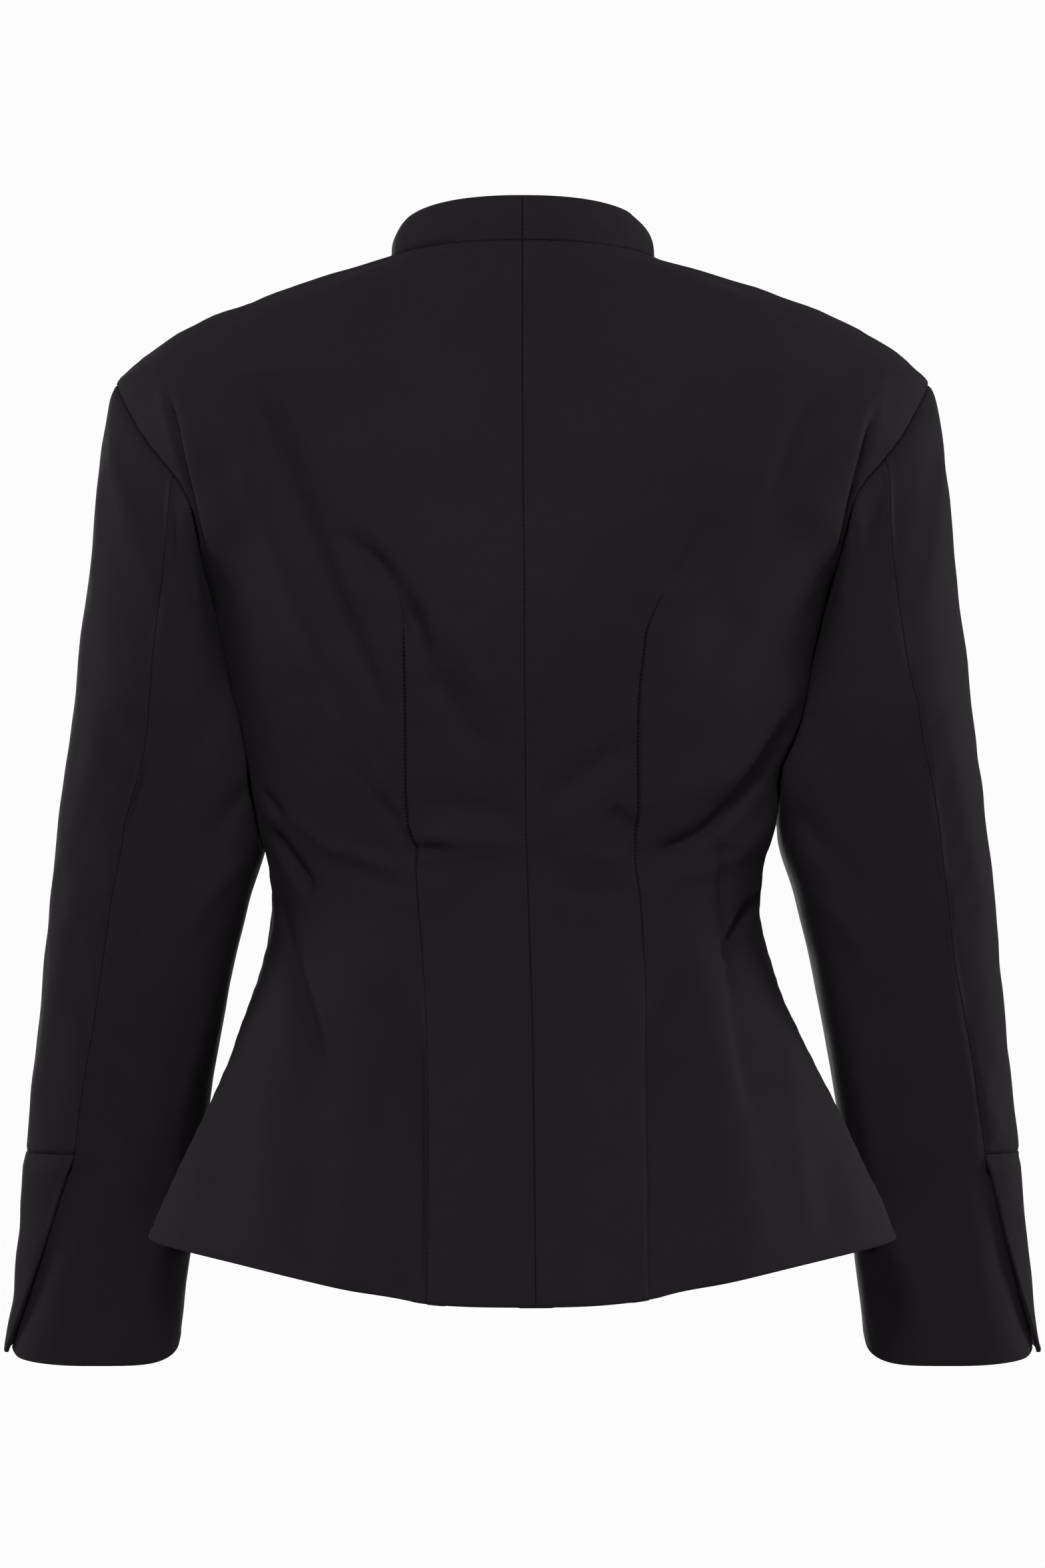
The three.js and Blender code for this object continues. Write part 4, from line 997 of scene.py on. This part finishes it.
# Polyester sewing thread: two plies twisted, dyed to match.
def makeThreadMaterial():
    material, tree = newMaterial("polyester sewing thread, two-ply, black")
    ply = noise(tree, objectPlace(tree), 2600.0)
    tone = ranged(tree, ply, 0.3, 0.7, 0.7, 1.5)
    surfaceOf(tree, {"Roughness": 0.6, "Specular IOR Level": 0.3, "Sheen Weight": 0.3}, {
        "Base Color": shaded(tree, colours["thread"], tone),
        "Normal": relief(tree, ply, 0.5, 0.0001),
    })
    return material


suiting = makeSuiting()
buttonMaterial = makeButtonMaterial()
threadMaterial = makeThreadMaterial()
print("materials made", flush=True)


# Buttons, their thread and buttonholes
button = dict(
    radius=9, thick=3.4, count=5, topZ=-92, pitch=72, dish=0.75, dishRadius=6.2, edge=1.3,
    holeAt=1.75, hole=0.85, holeDeep=2.2, sides=88, rings=44,
)
buttonhole = dict(long=22, start=3, thread=0.55, wide=1.1, around=160)


def seatOf(index):  # centre and outward way of a button, clear of the cloth under its rim
    z = button["topZ"] - button["pitch"] * index
    out = bodyNormal(np.array(np.pi / 2), np.array(float(z)), -1, 1)
    middle = bodyPoint(np.array(np.pi / 2), np.array(float(z)), -1, 1)
    turn = np.linspace(0, 2 * np.pi, 15)
    x, rimZ = button["radius"] * np.cos(turn), z + button["radius"] * np.sin(turn)
    rise = ((bodyPoint(angleAt(x, rimZ, -1, 1), rimZ, -1, 1) - middle) * out).sum(-1)
    return middle + out * (max(0, rise.max()) + seam["gap"]), out


def frameOf(out):  # two ways across the button's face
    side = unit(np.cross(np.array([0, 0, 1.0]), out))
    return side, np.cross(out, side)


def makeButton(index):
    b = button
    at, out = seatOf(index)
    side, up = frameOf(out)
    turn = np.linspace(0, 2 * np.pi, b["sides"], endpoint=False)
    share = np.linspace(0, 1, b["rings"])
    bend = np.linspace(0, np.pi, 16)
    flatTo, half = b["radius"] - b["edge"], b["thick"] / 2
    face = np.stack([share * flatTo, np.full_like(share, b["thick"])], -1)
    rim = np.stack([flatTo + b["edge"] * np.sin(bend), half + half * np.cos(bend)], -1)[1:]
    base = np.stack([np.linspace(flatTo, 0, 12)[1:], np.zeros(11)], -1)
    profile = np.concatenate([face, rim, base])
    r, h = profile[:, :1], profile[:, 1:]
    x, y = r * np.cos(turn), r * np.sin(turn)
    dished = b["dish"] * smooth(b["dishRadius"] + 0.9, b["dishRadius"] - 0.9, r)
    holes = np.zeros_like(x)
    for hx in (-b["holeAt"], b["holeAt"]):
        for hy in (-b["holeAt"], b["holeAt"]):
            holes = np.maximum(holes, smooth(b["hole"] + 0.18, b["hole"] - 0.12, np.hypot(x - hx, y - hy)))
    top = h > b["thick"] - 0.01
    height = h - top * (dished + holes * b["holeDeep"])
    points = at + x[..., None] * side + y[..., None] * up + height[..., None] * out
    name = f"buttonSewn_{index + 1}"
    return addMesh(name, points.reshape(-1, 3), ringFaces(*x.shape), buttonMaterial)


def threadTube(path, radius, sides):  # a round thread along a path of points
    way = unit(np.gradient(path, axis=0))
    first = unit(np.cross(way, np.array([0.13, 0.9, 0.41])))
    second = np.cross(way, first)
    turn = np.linspace(0, 2 * np.pi, sides, endpoint=False)[:, None]
    ring = np.cos(turn)[None] * first[:, None] + np.sin(turn)[None] * second[:, None]
    points = path[:, None] + ring * np.broadcast_to(radius, len(path))[:, None, None]
    return points.reshape(-1, 3), ringFaces(len(path), sides)[:, [0, 3, 2, 1]]


def gather(name, parts, material):  # several surfaces as one mesh
    start = np.cumsum([0] + [len(points) for points, _ in parts])
    faces = np.concatenate([f + s for (_, f), s in zip(parts, start)])
    return addMesh(name, np.concatenate([p for p, _ in parts]), faces, material)


def makeThreads():  # two pairs of bars across each button, four strands in each
    parts = []
    b = button
    for index in range(b["count"]):
        at, out = seatOf(index)
        side, up = frameOf(out)
        for hy in (-b["holeAt"], b["holeAt"]):
            for strand in (-0.42, -0.14, 0.14, 0.42):
                t = np.linspace(-1, 1, 25)
                lift = b["thick"] - b["dish"] + 0.35 - 1.6 * np.abs(t) ** 8
                x = t * (b["holeAt"] + 0.1)
                y = hy + strand * (1 - 0.35 * np.abs(t))
                path = at + x[:, None] * side + y[:, None] * up + lift[:, None] * out
                parts.append(threadTube(path, 0.19, 8))
    return gather("buttonThread", parts, threadMaterial)


def makeButtonholes():  # a racetrack of close stitches round a slit, moved out from the cloth
    parts = []
    for index in range(button["count"]):
        z = button["topZ"] - button["pitch"] * index
        run = np.linspace(0, 2 * np.pi, buttonhole["around"] * 3)
        middle = buttonhole["start"] - buttonhole["long"] / 2
        x = middle + (buttonhole["long"] / 2) * signedPower(np.cos(run), 0.35)
        height = z + buttonhole["wide"] * signedPower(np.sin(run), 0.6)
        angle = angleAt(x, height, -1, 1)
        place = bodyPoint(angle, height, -1, 1, 0.15)
        radius = buttonhole["thread"] * (1 + 0.16 * np.sin(run * buttonhole["around"] / 2))
        parts.append(threadTube(place, radius, 10))
    return gather("buttonholes", parts, threadMaterial)


# Putting the jacket together
def makeBack(hand, word):
    def centreX(z):
        return hand * look(backSeams, "centre", z)

    def dartX(z):
        return hand * look(backSeams, f"{word}Dart", z)

    def sinkAt(angle, z):
        return 0 * angle

    name = f"backPanel_{word}"
    return bodyPanel(name, 1, hand, centreX, dartX, backDartTip, sinkAt, backCreases, 11 + hand)


def makeFront(hand, word):
    past = lap["under"] if hand > 0 else lap["over"]

    def edgeX(z):
        return -past + 0 * z

    def dartX(z):
        return look(frontSeams, "dart", z)

    def sinkAt(angle, z):  # the left front lies lower where the right one laps over it
        x = section(z, -1)[2] / np.tan(np.maximum(angle, 0.01))
        return -lap["sink"] * (1 - smooth(lap["blendFrom"], lap["blendTo"], x)) * (hand > 0)

    name = f"frontPanel_{word}"
    return bodyPanel(name, -1, hand, edgeX, dartX, frontDartTip, sinkAt, frontCreases, 21 + hand)


made = {}
for word, hand in (("left", 1), ("right", -1)):
    made[f"back_{word}"] = makeBack(hand, word)
    made[f"front_{word}"] = makeFront(hand, word)
    upper, under, cuff = makeSleeve(hand, word, 31 + 3 * hand)
    made[f"sleeve_upper_{word}"] = upper
    made[f"sleeve_under_{word}"] = under
    made[f"cuff_{word}"] = cuff
    made[f"collar_{word}"] = makeCollar(hand, word, 51 + hand)
for index in range(button["count"]):
    made[f"button_{index + 1}"] = makeButton(index)
extras = [makeThreads(), makeButtonholes()]
print("jacket made", flush=True)

# Each piece and thread hangs from the root, and the CAD part it stands for is hidden
for key, thing in made.items():
    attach(thing, "root")
    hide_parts(key)
for thing in extras:
    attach(thing, "root")


# Studio
studio = dict(cameraFar=3.0, cameraZ=-0.3073, lens=117.7, floorZ=-1.05)


def addLight(name, place, aimZ, wide, tall, watts):  # a soft box turned to the middle
    data = bpy.data.lights.new(name, "AREA")
    data.shape, data.size, data.size_y, data.energy = "RECTANGLE", wide, tall, watts
    lamp = bpy.data.objects.new(name, data)
    bpy.context.scene.collection.objects.link(lamp)
    lamp.location = place
    way = Vector((0, 0, aimZ)) - Vector(place)
    lamp.rotation_euler = way.to_track_quat("-Z", "Y").to_euler()


def makeBackdrop():  # pale floor swept up into walls on all sides
    material, tree = newMaterial("studio paper, matt white, rolled")
    tone = ranged(tree, noise(tree, objectPlace(tree), 3.0), 0.0, 1.0, 0.985, 1.0)
    paper = shaded(tree, colours["floor"], tone)
    # the paper glows evenly white where the camera sees it, and to everything else it is a grey diffuse
    # surface, so little of its light falls back on the cloth
    seen = node(tree, "ShaderNodeEmission", None, None, {"Color": paper})
    felt = node(tree, "ShaderNodeBsdfDiffuse", None, {"Color": linear(colours["bounce"])})
    direct = node(tree, "ShaderNodeLightPath").outputs["Is Camera Ray"]
    both = node(tree, "ShaderNodeMixShader", None, None, {0: direct, 1: felt.outputs[0], 2: seen.outputs[0]})
    node(tree, "ShaderNodeOutputMaterial", None, None, {"Surface": both.outputs[0]})
    turn = np.linspace(0, 2 * np.pi, 97)[:-1]
    bend = np.linspace(0, np.pi / 2, 14)
    radius = np.concatenate([[0.001], 4200 + 900 * np.sin(bend), [5100]])
    height = np.concatenate([[0], 900 * (1 - np.cos(bend)), [6500]])
    x, y = radius[:, None] * np.cos(turn), radius[:, None] * np.sin(turn)
    z = np.broadcast_to((height + studio["floorZ"] * 1000)[:, None], x.shape)
    return addMesh("backdrop", np.stack([x, y, z], -1).reshape(-1, 3), ringFaces(*x.shape), material)


# Name, place, height aimed at, width, height and power of each lamp
for lamp in (
    ("key", (0.35, 2.75, 1.35), -0.28, 0.8, 0.8, 54),
    ("fill", (-1.7, 2.8, 0.2), -0.35, 1.2, 1.4, 11),
    ("top", (0.2, 0.2, 2.3), -0.2, 1.6, 1.0, 3),
    ("sideLeft", (2.3, -0.4, 0.0), -0.3, 0.5, 1.8, 22),
    ("sideRight", (-2.3, -0.4, 0.0), -0.3, 0.5, 1.8, 28),
    ("frontFill", (0.6, -2.6, -0.2), -0.3, 1.6, 1.6, 36),
):
    addLight(*lamp)
backdrop = makeBackdrop()

world = bpy.data.worlds.new("studio")
world.use_nodes = True
background = world.node_tree.nodes["Background"]
background.inputs["Color"].default_value = (1, 1, 1, 1)
background.inputs["Strength"].default_value = 0.25
bpy.context.scene.world = world
bpy.context.scene.view_settings.view_transform = "Standard"

cameraData = bpy.data.cameras.new("camera")
cameraData.lens = studio["lens"]
cameraData.sensor_width = 36
camera = bpy.data.objects.new("camera", cameraData)
camera.location = (0, studio["cameraFar"], studio["cameraZ"])
camera.rotation_euler = (math.radians(90), 0, math.radians(180))
bpy.context.scene.collection.objects.link(camera)
bpy.context.scene.camera = camera
print("studio made", flush=True)
